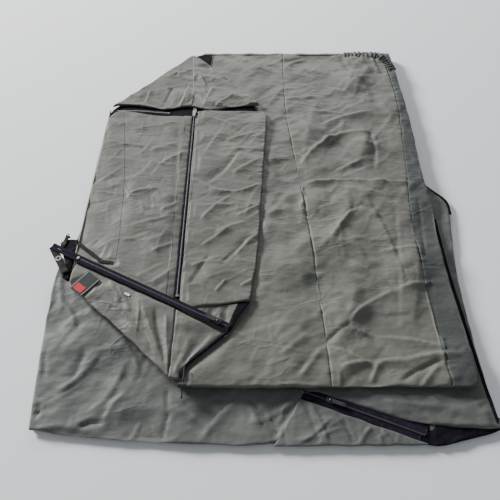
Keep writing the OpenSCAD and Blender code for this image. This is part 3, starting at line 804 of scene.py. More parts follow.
def makeZips():
    spec = zips["entry"]
    for name, side, end, node in (("entryTapeNear", -1, 222, "entry_tape_near"),
                                  ("entryTapeFar", 1, 231, "entry_tape_far")):
        mid = side * (0.25 + spec["width"] / 2)
        obj = tape(name, [onEntry(-4, mid), onEntry(120, mid), onEntry(end, mid)], spec["width"], spec["thick"],
                   spec["z"], "tape", 0.15, 4)
        finish(obj, "zip_tape", "lower_half", node)
    obj = coil("entryCoilTeeth", [onEntry(2, 0), onEntry(228, 0)], spec["z"] + 0.85, spec["coilWidth"],
               spec["coilThick"], spec["pitch"], "coil")
    finish(obj, "coil", "lower_half", "entry_coil")
    spec = zips["front"]
    for name, side, node in (("frontTapeLeft", -1, "front_tape_left"),
                             ("frontTapeRight", 1, "front_tape_right")):
        x = spec["x"] + side * (0.2 + spec["width"] / 2)
        obj = tape(name, [(x, spec["near"]), (x, 0), (x, spec["far"])], spec["width"], spec["thick"], spec["z"],
                   "tape", 0.0, 6)
        finish(obj, "zip_tape", "hood", node)
    obj = coil("frontCoilTeeth", [(spec["x"], spec["near"] + 7), (spec["x"], spec["far"] - 2)], spec["z"] + 0.75,
               spec["coilWidth"], spec["coilThick"], spec["pitch"], "coil")
    finish(obj, "coil", "hood", "front_coil")
    spec = zips["band"]
    start = (-383 - bandStart[0]) / bandWay[0]  # where the band crosses the hood's left edge
    for name, side, node in (("bandTapeFar", 1, "band_tape_far"), ("bandTapeNear", -1, "band_tape_near")):
        mid = bandMid + side * 0.15 + side * spec["width"] / 2
        path = [onBand(-9, mid + 1), onBand(40, mid), onBand(200, mid), onBand(bandLength - 3, mid)]
        obj = tape(name, path, spec["width"], spec["thick"], spec["z"], "tape", 0.12, 4)
        finish(obj, "zip_tape", None, node, "band_end_tape")
        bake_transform(obj)
    obj = coil("bandCoilTeeth", [onBand(start + 6, bandMid), onBand(bandLength - 7, bandMid)], spec["z"] + 0.5,
               spec["coilWidth"], spec["coilThick"], spec["pitch"], "coil")
    finish(obj, "coil", "hood", "band_coil")


upperLeft = [(-250, -346), (-330, -285), (-383, -238), (-384, 0), (-384, 280), (-376, 292), (-162, 540)]
upperHalf = dict(
    gathers=dict(x=340, y=540, wide=60, deep=26, high=3.5),
    swell=(41, 170, 2.6),
    facets=[(411, 84, 4.8, 24), (412, 42, 3.2, -18, 1.9), (413, 21, 1.1, 65, 2.0)],
    scattered=[((20, -455, 400, 550), 42, [
        (46, 32, 26, (60, 190), (0.8, 2.2), (4, 7)), (34, -32, 26, (50, 150), (0.7, 1.9), (3.5, 6)),
        (46, 8, 16, (40, 120), (0.7, 1.8), (3, 5)), (26, 85, 14, (40, 130), (0.6, 1.5), (3, 5)),
        (110, 20, 60, (18, 50), (0.5, 1.2), (2, 3.4))])],
    bulges=[  # broad swellings, steep on the right: from, to, height, steep side, gentle side, bow
        ((215, 20), (118, -170), 8.0, 60, 70, 0.1), ((282, 250), (246, 90), 7.5, 56, 70, 0.05),
        ((160, 330), (115, 120), 4.5, 40, 70, 0.0), ((345, -120), (300, -330), 5.6, 40, 70, 0.04),
        ((205, -230), (140, -380), 5.0, 40, 60, 0.05), ((75, 20), (50, -220), 3.6, 34, 50, 0.0),
        ((330, 500), (270, 380), 5.0, 44, 60, 0.0)],
    bottom=dict(
        near=[(-150, -447), (-137, -450), (130, -450), (384, -451), (395, -446)],
        right=[(395, -446), (401, -344), (394, -215), (396, -100), (405, 0), (397, 25), (405, 279), (401, 405),
               (396, 551)],
        far=[(-162, 540), (-140, 552), (396, 551)],
        left=[(-150, -447), *upperLeft]),
    leftOfSeam=dict(  # the panels meet along the lengthwise seam and along the side seam
        near=[(-150, -450), (-137, -456), (0, -457), (132, -457)],
        right=panelSeam[::-1],
        far=[(-162, 540), (-140, 552), (79.5, 553)],
        left=[(-150, -450), *upperLeft]),
    rightOfSeam=dict(
        near=[(133.5, -457), (240, -455), (349, -457)],
        right=gussetSeam[::-1],
        far=[(80.5, 553), (230, 554), (371, 553)],
        left=panelSeam[::-1]),
    gusset=dict(
        near=[(350.5, -457), (384, -457), (398, -450)],
        right=[(398, -450), (402, -430), (401, -344), (394, -215), (396, -100), (406, 0), (397, 25),
               (406, 279), (402, 405), (397, 545), (395, 550)],
        far=[(372.5, 553), (395, 550)],
        left=gussetSeam[::-1]),
    folds=[
        ((108, 39), (269, 45), 3.2, 3, 22, 0.04), ((265, 46), (363, 42), 3.2, 3, 20, 0.02),
        ((363, 42), (404, 7), 3.4, 3, 14, 0.02), ((108, 39), (106, -98), 2.4, 3, 14, 0),
        ((178, -339), (224, -355), 2.4, 3, 14, 0), ((224, -355), (344, -374), 2.8, 3, 20, 0.03),
        ((200, -317), (309, -306), -2.2, 4, 14, 0), ((150, -418), (220, -408), 3.0, 3, 18, 0.06),
        ((214, -410), (276, -405), 3.2, 3, 24, 0.05), ((266, -406), (384, -392), 3.4, 3, 24, 0.06),
        ((256, -446), (351, -400), -2.8, 4, 12, 0.04), ((40, -396), (95, -350), 2.0, 5, 16, 0),
        ((76, -435), (121, -376), 2.4, 3, 16, 0), ((356, -350), (346, -410), 2.0, 3, 12, 0),
        ((121, -376), (183, -326), -2.4, 4, 14, 0.04), ((175, -330), (280, -254), 3.0, 5, 26, 0.08),
        ((121, -376), (207, -412), 2.4, 3, 16, 0.06), ((202, -447), (222, -408), 2.6, 3, 14, 0),
        ((290, -457), (336, -408), 2.6, 3, 14, 0), ((150, -425), (150, -455), 1.8, 3, 8, 0),
        ((30, -450), (129, -452), 1.6, 3, 10, 0), ((162, 182), (293, 219), 2.6, 4, 26, 0.08),
        ((166, 238), (309, 297), 2.4, 4, 24, 0.06), ((106, 94), (201, 200), 3.0, 6, 28, 0.08),
        ((293, 219), (286, 78), -2.6, 5, 22, 0.05), ((158, -131), (236, -32), 2.8, 6, 30, 0.05),
        ((236, -32), (277, -61), 2.6, 4, 18, 0), ((77, 480), (220, 542), 2.6, 4, 26, 0.12),
        ((80, 346), (176, 359), 1.8, 4, 14, 0), ((30, -61), (78, 14), 1.8, 3, 14, 0),
        ((144, 297), (237, 289), 1.8, 3, 12, 0), ((263, -157), (361, -144), 2.0, 4, 16, 0),
        ((321, -2), (272, -345), -0.9, 5, 14, 0.01), ((374, -2), (354, -183), -2.2, 3, 8, 0.02),
        ((361, -220), (343, -376), -1.8, 3, 8, 0), ((190, 78), (254, 111), 2.2, 5, 16, 0),
        ((196, -183), (278, -256), 2.6, 5, 26, 0.06), ((278, -256), (375, -232), 2.4, 4, 20, 0.05),
        ((250, 545), (275, 461), -2.6, 5, 14, 0), ((268, 447), (307, 425), 2.0, 4, 12, 0),
        ((340, 530), (355, 461), 2.4, 4, 12, 0), ((162, -90), (203, -81), 1.8, 4, 12, 0),
        ((250, 0), (300, -250), 1.8, 6, 30, 0.05), ((210, 120), (320, 20), 2.0, 6, 30, 0.05),
        ((200, 400), (330, 300), 2.4, 6, 34, 0.06), ((120, 250), (240, 120), 2.2, 7, 30, 0.05)],
)


def upperWrinkles(x, y):
    # the folds, puckers beside both seams, and a crowd of small gathers at the far right corner
    total = wrinkled(x, y, upperHalf, 1.4 * foldDepth)
    total += puckers(x, y, panelSeam, 43, 13, 1.0) + puckers(x, y, gussetSeam, 44, 13, 1.2, 12)
    at = upperHalf["gathers"]
    crowd = np.exp(-((x - at["x"]) / at["wide"]) ** 2 - ((y - at["y"]) / at["deep"]) ** 2)
    total = softFloor(total, -4.6) * np.clip((551 - y) / 20, 0, 1)  # it runs level into the fold at the far edge
    return total + at["high"] * crowd * (1 + 0.6 * np.sin(x * 0.42 + y * 0.1))


underHood = blanket(upperWrinkles, hoodOutline, 2, 0.4)  # the upper half's relief, low under the hood


def makeUpperHalf():
    # the bottom sheet is darker than the top panels: painted shade under their edges
    clothPiece("upperFloorSheet", edgesOf(upperHalf["bottom"]), (14.3, 21.4, 3.6), "floor", "floor", "upper_half",
               "upper_floor_panel", ["lowerTopSheet"], across=14, along=16, passes=3)
    # the side gusset takes the dark gusset paint: painted shade
    for name, key, across, along, paint, node in (
            ("upperLeftPanel", "leftOfSeam", [(140, 4.2), (toTheEnd, 4.2)], 4.0, "shell", "upper_top_panel"),
            ("upperRightPanel", "rightOfSeam", 3.4, 3.8, "shell", "upper_top_panel"),
            ("sideGussetCloth", "gusset", 3.2, 3.6, "gusset", "side_gusset")):
        clothPiece(name, edgesOf(upperHalf[key]), (20.4, 27.2, 2.2), paint, paint, "upper_half", node,
                   ["upperFloorSheet"], relief=underHood, across=across, along=along)


makeLowerHalf()
makeZips()
makeUpperHalf()
print("lower half, zips and upper half made")


trims = dict(
    panelSeam=dict(path=[(80, 540), (80, 492), (78, 296), (103, 44), (117, -104), (129, -345), (133, -450)],
                   width=3.4, thick=0.9),
    gussetSeam=dict(path=[(384, 462), (385, 358), (372, 180), (362, 77), (355, 13), (350, -40), (343, -158),
                          (344, -280), (348, -376), (350, -448)], width=2.6, thick=1.0),
    elastic=dict(path=[(262, 547), (318, 546), (362, 541), (384, 515), (391, 468)],
                 width=24, pitch=10.5, height=5.4,
                 step=1.1),
    mainFold=dict(start=-152, end=395, y=546, z=14, wide=19, above=13.5, below=12.6, around=50),
    hoodFold=dict(start=-184, end=288, x=-381.6, z=31.9, wide=4.2, high=4.6, wall=1.4, around=12.5),
)


def overCloth(points, lift, step=4.0):
    # a path that follows the upper half's relief
    path = linePath(points, 0, step)
    path[:, 2] = 26.2 + lift + np.clip(underHood(path[:, 0], path[:, 1]), -2.5, 4)
    return path


def makeTrims():
    for name, key, slot in (("panelSeamTape", "panelSeam", "panel_seam"),
                            ("gussetSeamTape", "gussetSeam", "gusset_seam")):
        spec = trims[key]
        path = overCloth(spec["path"], -0.9)
        obj = sweep(name, path, flatSection(spec["width"], spec["thick"]), "seam")
        finish(obj, "seam", "upper_half", slot)
    # the elastic: an oval section that swells and shrinks along its path, in the gusset's dark paint with its
    # painted shade
    spec = trims["elastic"]
    path = overCloth(spec["path"], 0.2, spec["step"])
    run = np.arange(len(path)) * spec["step"]
    squeeze = np.sin(2 * math.pi * run / spec["pitch"] + 1.5 * np.sin(run / 19))
    turn = np.arange(16) * math.pi / 8
    section = np.stack([np.cos(turn)[None] * (spec["width"] / 2 + 1.6 * squeeze[:, None]),
                        np.sin(turn)[None] * (spec["height"] / 2 + 1.9 * squeeze[:, None])], -1)
    obj = sweep("elasticGather", path, section, "gusset")
    finish(obj, "gusset", "upper_half", "hem_elastic")


def makeMainFold():
    # the cloth that passes round the far edge: half of an ellipse, uneven along its length
    spec = trims["mainFold"]
    x = np.linspace(spec["start"], spec["end"], 220)
    turn = np.linspace(-90, 90, 15) * math.pi / 180
    lumps = swell(51, 60, 1.3)(x, 0 * x) + 2.2 * np.exp(-((x - 345) / 45) ** 2) * (1 + np.sin(x * 0.5))
    wide = spec["wide"] + lumps[:, None] + 2 * np.exp(-((x[:, None] - 350) / 50) ** 2)
    rise = 0.3 * lumps[:, None] + 2.6 * np.exp(-((x[:, None] - 345) / 45) ** 2)
    high = np.where(np.sin(turn) > 0, spec["above"] + rise, spec["below"])
    section = np.stack([-wide * np.cos(turn), high * np.sin(turn)], -1)
    path = np.stack([x, np.full(x.size, float(spec["y"])), np.full(x.size, float(spec["z"]))], 1)
    obj = sweep("mainFoldCloth", path, section[:, ::-1], "shell")
    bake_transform(obj)


hood = dict(
    lining=dict(
        near=[(-383, -186), (-300, -225), (-170, -291), (-64, -344)],
        right=[(-64, -344), (-38, -309), (-20, -283), (-2, -163), (9, 38), (24, 250), (2, 300), (-18, 332),
               (-66, 394),
               (-108, 440), (-136, 488), (-124, 530), (-128, 545)],
        far=[(-176, 532), (-150, 545), (-128, 545)],
        left=[(-383, -186), (-383, 290), (-378, 298), (-176, 532)]),
    left=dict(
        near=[(-383, -187), (-300, -228), (-225, -265), (-181, -286)],
        right=[(-181, -286), (-182, -100), (-182, 60), (-180, 268)],
        far=[(-382, 258), (-368, 280), (-347, 286), (-315, 281), (-277, 270), (-220, 266), (-180, 268)],
        left=[(-383, -187), (-383.5, 50), (-382, 258)],
        folds=[((-373, 3), (-302, -9), 2.0, 3, 14, 0.05), ((-302, -9), (-224, 16), 2.6, 3, 18, 0.1),
               ((-294, -137), (-232, -115), 1.8, 4, 14, 0), ((-227, -163), (-176, -137), 2.0, 4, 14, 0),
               ((-217, -244), (-170, -201), 2.2, 4, 16, 0), ((-265, -20), (-255, -72), 1.1, 5, 18, 0.1),
               ((-246, 10), (-235, -56), -1.0, 5, 18, 0), ((-378, 173), (-275, 152), 1.5, 4, 14, 0),
               ((-321, 217), (-200, 244), 1.6, 4, 18, 0), ((-261, 138), (-190, 173), 1.8, 5, 18, 0),
               ((-243, 86), (-175, 138), 1.8, 5, 18, 0), ((-217, -53), (-172, -20), 2.0, 4, 12, 0),
               ((-278, -96), (-193, -68), 1.6, 4, 14, 0), ((-200, 250), (-176, -250), -1.4, 12, 12, 0)],
        sets=[(22, 15, 22, (40, 130), (0.6, 1.5), (3, 5)), (12, 60, 25, (30, 90), (0.5, 1.3), (3, 5)),
              (50, 10, 45, (16, 44), (0.4, 0.9), (2, 3.2))]),
    right=dict(
        near=[(-153, -302), (-94, -295), (-49, -288), (-15, -283)],
        right=[(-15, -283), (2, -163), (13, 38), (27, 210), (30, 262), (20, 286)],
        far=[(-153, 284), (-108, 288), (-68, 281), (-30, 284), (20, 286)],
        left=[(-153, -302), (-152, -100), (-152, 50), (-153, 284)],
        folds=[((-156, 49), (-106, 15), 2.8, 3, 12, 0.02), ((-112, 17), (-54, 5), 3.0, 3, 16, -0.06),
               ((-60, 5), (10, 33), 3.0, 3, 16, -0.08), ((-40, 138), (-122, 28), -3.0, 8, 20, 0.06),
               ((-47, -176), (9, -113), 3.0, 6, 18, 0.05), ((-76, -196), (-24, -135), -2.6, 5, 14, 0),
               ((-93, -117), (-24, -86), 2.4, 5, 18, 0.05), ((-132, 263), (-41, 217), 2.2, 3, 20, 0.05),
               ((-78, 173), (0, 200), 2.2, 4, 18, 0.05), ((-89, 138), (5, 145), 2.0, 4, 14, 0.03),
               ((-139, -201), (-78, -176), 2.2, 3, 16, 0), ((-85, -263), (-64, -233), 2.2, 4, 10, 0),
               ((-36, -250), (-2, -229), 2.2, 4, 12, 0), ((-151, -39), (-49, -33), 1.6, 4, 14, 0),
               ((-125, -84), (-58, -6), 2.4, 5, 22, 0.06), ((-48, -70), (10, -36), 2.2, 4, 16, 0),
               ((-120, -150), (-60, -100), 2.0, 5, 18, 0), ((-140, -250), (-100, -170), -2.2, 8, 24, 0),
               ((-60, 60), (10, 110), 2.0, 6, 22, 0), ((-130, 120), (-80, 230), 1.8, 6, 24, 0)],
        sets=[(24, 35, 22, (40, 130), (0.7, 1.7), (3, 6)), (14, -10, 18, (30, 100), (0.5, 1.4), (3, 5)),
              (50, 30, 45, (16, 44), (0.4, 0.9), (2, 3.2))]),
    crownLeft=dict(
        near=[(-380, 304), (-362, 313), (-315, 309), (-271, 301), (-236, 292), (-188, 307), (-166, 304)],
        right=[(-166, 304), (-167, 400), (-176, 533)],
        far=[(-187, 528), (-176, 533)],
        left=[(-380, 304), (-290, 405), (-187, 528)],
        folds=[((-204, 300), (-184, 400), 3.2, 3, 20, -0.04), ((-297, 311), (-285, 372), 1.6, 4, 16, 0),
               ((-245, 300), (-224, 385), -2.2, 8, 18, 0.02), ((-248, 379), (-167, 402), 3.2, 3, 18, 0.04),
               ((-326, 349), (-225, 384), 2.8, 4, 24, 0.03), ((-220, 440), (-175, 470), 1.8, 4, 16, 0)],
        sets=[(16, 50, 35, (30, 100), (0.7, 1.8), (3, 6)), (24, 30, 60, (14, 40), (0.4, 1.0), (2, 3.2))]),
    crownRight=dict(
        near=[(-170, 304), (-140, 296), (-119, 288), (-66, 303), (-20, 309), (9, 311)],
        right=[(9, 311), (8, 317), (-3, 332)],
        far=[(-181, 532), (-150, 505), (-93, 437), (-51, 397), (-3, 332)],
        left=[(-170, 304), (-171.5, 400), (-181, 532)],
        folds=[((-181, 405), (-164, 450), 2.2, 4, 12, 0), ((-162, 405), (-130, 359), 2.6, 4, 14, 0.05),
               ((-67, 405), (-2, 328), 3.0, 4, 14, 0), ((-135, 308), (-111, 392), 2.8, 5, 16, 0.06),
               ((-108, 299), (-46, 359), 2.8, 5, 18, 0.08), ((-58, 349), (-8, 311), 2.6, 4, 14, 0.05),
               ((-156, 445), (-130, 379), 2.4, 4, 14, 0), ((-162, 349), (-108, 307), 2.4, 4, 14, 0.1),
               ((-160, 420), (-120, 440), 2.2, 4, 16, 0)],
        sets=[(16, -40, 40, (30, 100), (0.7, 1.8), (3, 6)), (24, 30, 60, (14, 40), (0.5, 1.1), (2, 3.2))]),
    cornerFold=dict(
        near=[(-150, -304), (-110, -323), (-60, -348)],
        right=[(-60, -348), (-50, -318), (-38, -289)],
        far=[(-148, -300), (-94, -294), (-38, -289)],
        left=[(-150, -304), (-148, -300)],
        folds=[((-92, -300), (-80, -345), -2.8, 4, 10, 0), ((-60, -290), (-62, -342), -2.8, 4, 10, 0),
               ((-75, -295), (-70, -345), 2.0, 4, 10, 0), ((-110, -298), (-104, -320), 1.8, 3, 9, 0)],
        sets=[(10, 85, 15, (20, 50), (0.5, 1.2), (2.5, 4))]),
    peakLeft=dict(
        near=[(-382, -240), (-377, -252), (-329, -293), (-251, -357), (-168, -436), (-163, -438)],
        right=[(-163, -438), (-161, -360), (-161, -301)],
        far=[(-377, -195), (-280, -243), (-161, -301)],
        left=[(-382, -240), (-382, -212), (-377, -195)],
        folds=[((-160, -436), (-230, -292), 3.4, 6, 20, 0.02), ((-166, -430), (-203, -300), -3.2, 6, 14, 0.02),
               ((-163, -430), (-178, -310), 3.0, 5, 14, 0.02), ((-299, -237), (-270, -286), 2.6, 5, 16, 0),
               ((-281, -249), (-247, -308), 2.8, 5, 18, 0), ((-318, -250), (-221, -372), 2.4, 6, 20, 0.03),
               ((-246, -328), (-201, -388), 2.6, 5, 16, 0), ((-352, -213), (-322, -240), 2.0, 4, 12, 0),
               ((-248, -345), (-190, -408), -2.0, 4, 14, 0), ((-186, -400), (-215, -330), 2.4, 5, 14, 0)],
        sets=[(16, -55, 22, (30, 100), (0.7, 1.8), (3, 6)), (24, 60, 50, (14, 40), (0.4, 1.0), (2, 3.4))]),
    peakRight=dict(
        near=[(-163, -441), (-150, -445), (-143, -444)],
        right=[(-143, -444), (-142, -424), (-98, -384), (-66, -355)],
        far=[(-160.6, -302), (-110, -327), (-66, -351)],
        left=[(-163, -441), (-160.8, -360), (-160.6, -302)],
        folds=[((-152, -436), (-122, -345), 3.0, 5, 14, 0), ((-146, -430), (-92, -338), -2.6, 5, 12, 0),
               ((-150, -395), (-128, -359), 2.2, 4, 12, 0), ((-133, -412), (-80, -352), 2.0, 4, 12, 0),
               ((-156, -400), (-140, -310), 2.0, 4, 14, 0)],
        sets=[(10, 62, 15, (30, 90), (0.6, 1.5), (3, 5)), (14, 60, 50, (14, 40), (0.4, 1.0), (2, 3.4))]),
)
hoodPieces = [  # name, outline, body, CAD piece, lower and upper level and rim, seed
    ("hoodLeftPanel", "left", "hood", "hood_left_panel", (30.6, 36.4, 3.2), 61),
    ("hoodRightPanel", "right", "hood", "hood_right_panel", (31.6, 36.8, 3.0), 62),
    ("hoodCornerFold", "cornerFold", "hood", "hood_right_panel", (30.6, 34.4, 2.2), 63),
    ("crownLeftPanel", "crownLeft", "hood", "crown_left_panel", (31.2, 37.0, 3.0), 64),
    ("crownRightPanel", "crownRight", "hood", "crown_right_panel", (31.2, 37.0, 3.0), 65),
    ("peakLeftPanel", "peakLeft", "peak", "peak_left_panel", (28.7, 36.2, 3.4), 66),
    ("peakRightPanel", "peakRight", "peak", "peak_right_panel", (28.7, 35.6, 3.0), 67)]


def hoodRelief(key, seed, x, y):
    # a slow swell, scattered folds, flat faces and the piece's own folds, kept between a floor and the lid
    shape = hood[key]
    points = np.concatenate([np.asarray(edge, float) for edge in edgesOf(shape)])
    total = swell(seed, 120, 1.2)(x, y) + crumple(x, y, (*points.min(0), *points.max(0)), shape["sets"], seed)
    lively = 1.6 if key.startswith("crown") else 1.1
    total += lively * (facets(x, y, seed + 100, 62, 3.0, 20) + facets(x, y, seed + 200, 32, 2.1, -15, 1.9))
    for line in shape["folds"]:
        total += foldDepth * ridge(x, y, *line)
    if key in ("left", "right"):
        total += puckers(x, y, [(-161, -300), (-161, 290)], seed, 14, 0.8, 13)
        total += puckers(x, y, [(20, 286), (13, 38), (2, -163), (-16, -284)], seed + 3, 10, 0.8, 13)
    return np.minimum(softFloor(total, -4.0), lidOver(x, y))


def makeHood():
    clothPiece("hoodLiningCloth", edgesOf(hood["lining"]), (28.55, 30.4, 1.2), "lining", "lining", "hood",
               "hood_lining", ["upperLeftPanel"], across=10, along=10, passes=2)
    for name, key, body, node, levels, seed in hoodPieces:
        fine = 2.5 if key in ("left", "right") else 2.2
        clothPiece(name, edgesOf(hood[key]), levels, "shell", "shell", body, node, ["hoodLiningCloth"],
                   relief=lambda x, y: hoodRelief(key, seed, x, y), across=fine, along=fine)


makeTrims()
makeMainFold()
makeHood()
print("trims and hood made")


hoodTrims = dict(
    flaps=dict(x=-161, z=36.5, slit=6.2, width={-1: 23.0, 1: 9.5}, drop={-1: 4.6, 1: 0.7}, thick=0.8,
               near=-284, far=268),  # the keys -1 and 1 stand for left and right
    seam=dict(path=[(-347, 274), (-328, 160), (-311, 38), (-300, -100), (-296, -190)],
              width=1.5, thick=0.6, z=36.6, pitch=4.0),
    mouthRoll=dict(path=[(-366, 286), (-300, 286), (-262, 280), (-226, 277)], width=5, thick=2.6, z=34.2),
    hem=dict(left=[(-58, -349), (-50, -320), (-40, -289)], right=[(-54, -350), (-36, -314), (-14, -284)],
             where=(-60, -350, -10, -280), sets=[(8, 60, 20, (20, 60), (0.5, 1.2), (2, 4))], seed=70),
    peakHem=dict(path=[(-58, -351), (-76, -366), (-94, -382), (-137, -420), (-139, -438)],
                 width=6, thick=7.0, z=29.0),
)


def makeHoodTrims():
    # each flap: a strip between the slit and the panel, level with the cloth and drooping towards the slit
    spec = hoodTrims["flaps"]
    for name, side, node, key, seed in (("stormFlapLeft", -1, "storm_flap_left", "left", 61),
                                        ("stormFlapRight", 1, "storm_flap_right", "right", 62)):
        y = np.linspace(spec["near"], spec["far"], 230)
        share = np.linspace(0, 1, 9)
        wide = spec["width"][side] + 1.2 * swell(81 + side, 60, 1.0)(y, 0 * y)
        slit = spec["slit"] - 1.5 * np.clip((y + 60) / 340, 0, 1)
        slit += 0.5 * swell(83 + side, 80, 1.0)(y, 0 * y)
        across = slit[:, None] + wide[:, None] * (1 - share)
        x = spec["x"] + side * across
        yy = np.broadcast_to(y[:, None], x.shape)
        lie = spec["z"] + hoodRelief(key, seed, x, yy) * (1 - share) + 0.25 - 1.1 * (1 - share) ** 4
        top = lie - spec["drop"][side] * share ** 1.5 + 0.35 * np.sin(yy * 0.3 + side) * share
        under = np.stack([x, yy, top - spec["thick"]], -1)
        outline = np.concatenate([np.stack([x, yy, top], -1), under[:, ::-1]], 1)
        obj = makeObject(name, outline.reshape(-1, 3), tubeFaces(len(y), outline.shape[1]), "shell")
        pointOut(obj)
        finish(obj, "shell", "hood", node)
    spec = hoodTrims["seam"]
    obj = stitches("hoodSideStitches", spec["path"], spec["z"], spec["width"], spec["thick"], spec["pitch"],
                   "seam",
                   lambda x, y: hoodRelief("left", 61, x, y))
    finish(obj, "seam", "hood")
    spec = hoodTrims["mouthRoll"]
    obj = tape("mouthHemRoll", spec["path"], spec["width"], spec["thick"], spec["z"], "shell", 0.4, 3)
    finish(obj, "shell", "hood")
    spec = hoodTrims["hem"]
    left, right = spec["left"], spec["right"]
    edges = [[left[0], right[0]], right, [left[-1], right[-1]], left]
    clothPiece("hoodCornerHem", edges, (30.6, 33.6, 1.4), "lining", "zip_tape", "hood", "hood_hem",
               ["hoodLiningCloth"], relief=lambda x, y: crumple(x, y, spec["where"], spec["sets"], spec["seed"]),
               across=2.5, along=2.5)
    spec = hoodTrims["peakHem"]
    path = linePath(spec["path"], spec["z"] + spec["thick"] / 2, 2.5)
    obj = sweep("peakHemTape", path, flatSection(spec["width"], spec["thick"]), "tape")
    finish(obj, "zip_tape", "peak", "peak_hem")


def makeHoodFold():
    # the cloth that passes round the hood's left edge: a wall between two half ellipses
    spec = trims["hoodFold"]
    y = np.linspace(spec["start"], spec["end"], 150)
    turn = np.linspace(-90, 90, 11) * math.pi / 180
    wide = spec["wide"] + swell(71, 70, 0.6)(y, 0 * y)[:, None]
    outer = np.stack([wide * np.cos(turn), 0 * wide + spec["high"] * np.sin(turn)], -1)
    inner = np.stack([(wide - spec["wall"]) * np.cos(turn) - 0.6, 0 * wide + 3.5 * np.sin(turn)], -1)[:, ::-1]
    section = np.concatenate([outer, inner], 1)
    path = np.stack([np.full(y.size, spec["x"]), y, np.full(y.size, spec["z"])], 1)
    section[..., 0] *= -1
    obj = sweep("hoodFoldCloth", path, section[:, ::-1], "shell")
    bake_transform(obj)


corner = dict(
    patch=dict(near=[(-402, -226), (-393, -234), (-386, -236)], right=[(-386, -236), (-385, -180), (-385, -132)],
               far=[(-420, -138), (-404, -131), (-385, -132)],
               left=[(-402, -226), (-396, -200), (-424, -146), (-420, -138)],
               where=(-430, -240, -384, -130), sets=[(10, 60, 30, (20, 60), (0.4, 1.1), (2, 4))], seed=75),
    tab=dict(low=(-394, -219), high=(-436, -153), width=15, thick=1.8, z=35.2, stitchReach=6.2),
    ring=dict(low=(-414, -152), high=(-409, -126), width=8.2, thick=1.3, z=34.7, top=36.2, stitchReach=3.6),
)


def pointOut(obj):
    made = bmesh.new()
    made.from_mesh(obj.data)
    bmesh.ops.recalc_face_normals(made, faces=made.faces)
    made.to_mesh(obj.data)
    made.free()


def strapLine(spec):
    # where a strap starts, the way it runs, the way across it, and how long it is
    low, high = np.array(spec["low"], float), np.array(spec["high"], float)
    reach = float(np.linalg.norm(high - low))
    way = (high - low) / reach
    return low, way, np.array([-way[1], way[0]]), reach


def loopedStrap(name, path, across, spec):
    # webbing that turns over in the upright plane of its own path: the section stands square to the path
    tangent = np.gradient(path, axis=0)
    tangent /= np.linalg.norm(tangent, axis=1)[:, None]
    side = np.broadcast_to(np.array([*across, 0]), path.shape)
    lift = -np.cross(side, tangent)
    section = flatSection(spec["width"], spec["thick"])
    verts = path[:, None] + section[None, :, :1] * side[:, None] - section[None, :, 1:] * lift[:, None]
    obj = makeObject(name, verts.reshape(-1, 3), tubeFaces(len(path), len(section)), "webbing")
    pointOut(obj)
    return obj


def makeCorner():
    spec = corner["patch"]
    clothPiece("cornerPatchCloth", edgesOf(spec), (26.3, 34.2, 2.6), "lining", "lining", "upper_half",
               "corner_patch", ["upperLeftPanel"], relief=lambda x, y: np.clip(
                   crumple(x, y, spec["where"], spec["sets"], spec["seed"]), -1.4, 0.6), across=2.6, along=2.8)
    # the eyelet's webbing lies flat, then turns over at its high end and goes back under itself
    tab = corner["tab"]
    low, way, across, reach = strapLine(tab)
    flatPart = [(*(low + s * way), tab["z"] + 0.9) for s in np.linspace(0, reach - 2, 22)]
    turnPart = [(*(low + (reach - 2 + 2.6 * math.sin(a)) * way), tab["z"] - 1.0 + 1.9 * math.cos(a))
                for a in np.linspace(0.25, math.pi * 0.92, 9)]
    path = np.array(flatPart + turnPart)
    obj = loopedStrap("eyeletWebbingStrap", path, across, tab)
    finish(obj, "webbing", "eyelet_tab", "eyelet_webbing")
    for k, at in enumerate((6, 10, reach - 8)):
        middle, half = low + at * way, across * tab["stitchReach"]
        obj = stitches(f"tabStitches{k}", [tuple(middle - half), tuple(middle + half)],
                       tab["z"] + tab["thick"] + 0.1, 0.9, 0.6, 2.6, "tanThread")
        finish(obj, "webbing", "eyelet_tab")
    # the ring's webbing runs up from the patch, round the ring's bar and back
    ring = corner["ring"]
    low, way, across, reach = strapLine(ring)
    outer = [(s, ring["top"]) for s in np.linspace(-2, reach - 1, 10)]
    outer += [(reach + 2.35 * math.sin(a), ring["z"] + 2.35 * math.cos(a)) for a in np.linspace(0.3, 2.9, 10)]
    outer += [(reach - 1.5, ring["z"] - 2.35)]
    path = np.array([(*(low + s * way), z) for s, z in outer])
    obj = loopedStrap("ringWebbingLoop", path, across, ring)
    finish(obj, "webbing", "upper_half", "ring_webbing")
    for k, at in enumerate((6, 10)):
        middle, half = low + at * way, across * ring["stitchReach"]
        obj = stitches(f"ringStitches{k}", [tuple(middle - half), tuple(middle + half)],
                       ring["top"] + 0.75, 0.9, 0.5, 2.2, "tanThread")
        finish(obj, "webbing", "upper_half")


small = dict(
    hang=dict(first=[(-384, -144), (-352, -169), (-323, -193)], second=[(-330, -191), (-312, -194), (-300, -195)],
              width=8, thick=1.0, z=38.3),
    tag=dict(at=(-266, -268), length=12, width=5, thick=0.5, z=38.5, turn=-26.5),
    label=dict(at=(-333, -227), turn=233, length=50, width=34, thick=1.0, z=38.6, badge=(30, 46, -12, 11),
               badgeThick=0.6, edge=2, edgeWidth=1.4, edgeThick=0.5, curl=1.5),
)


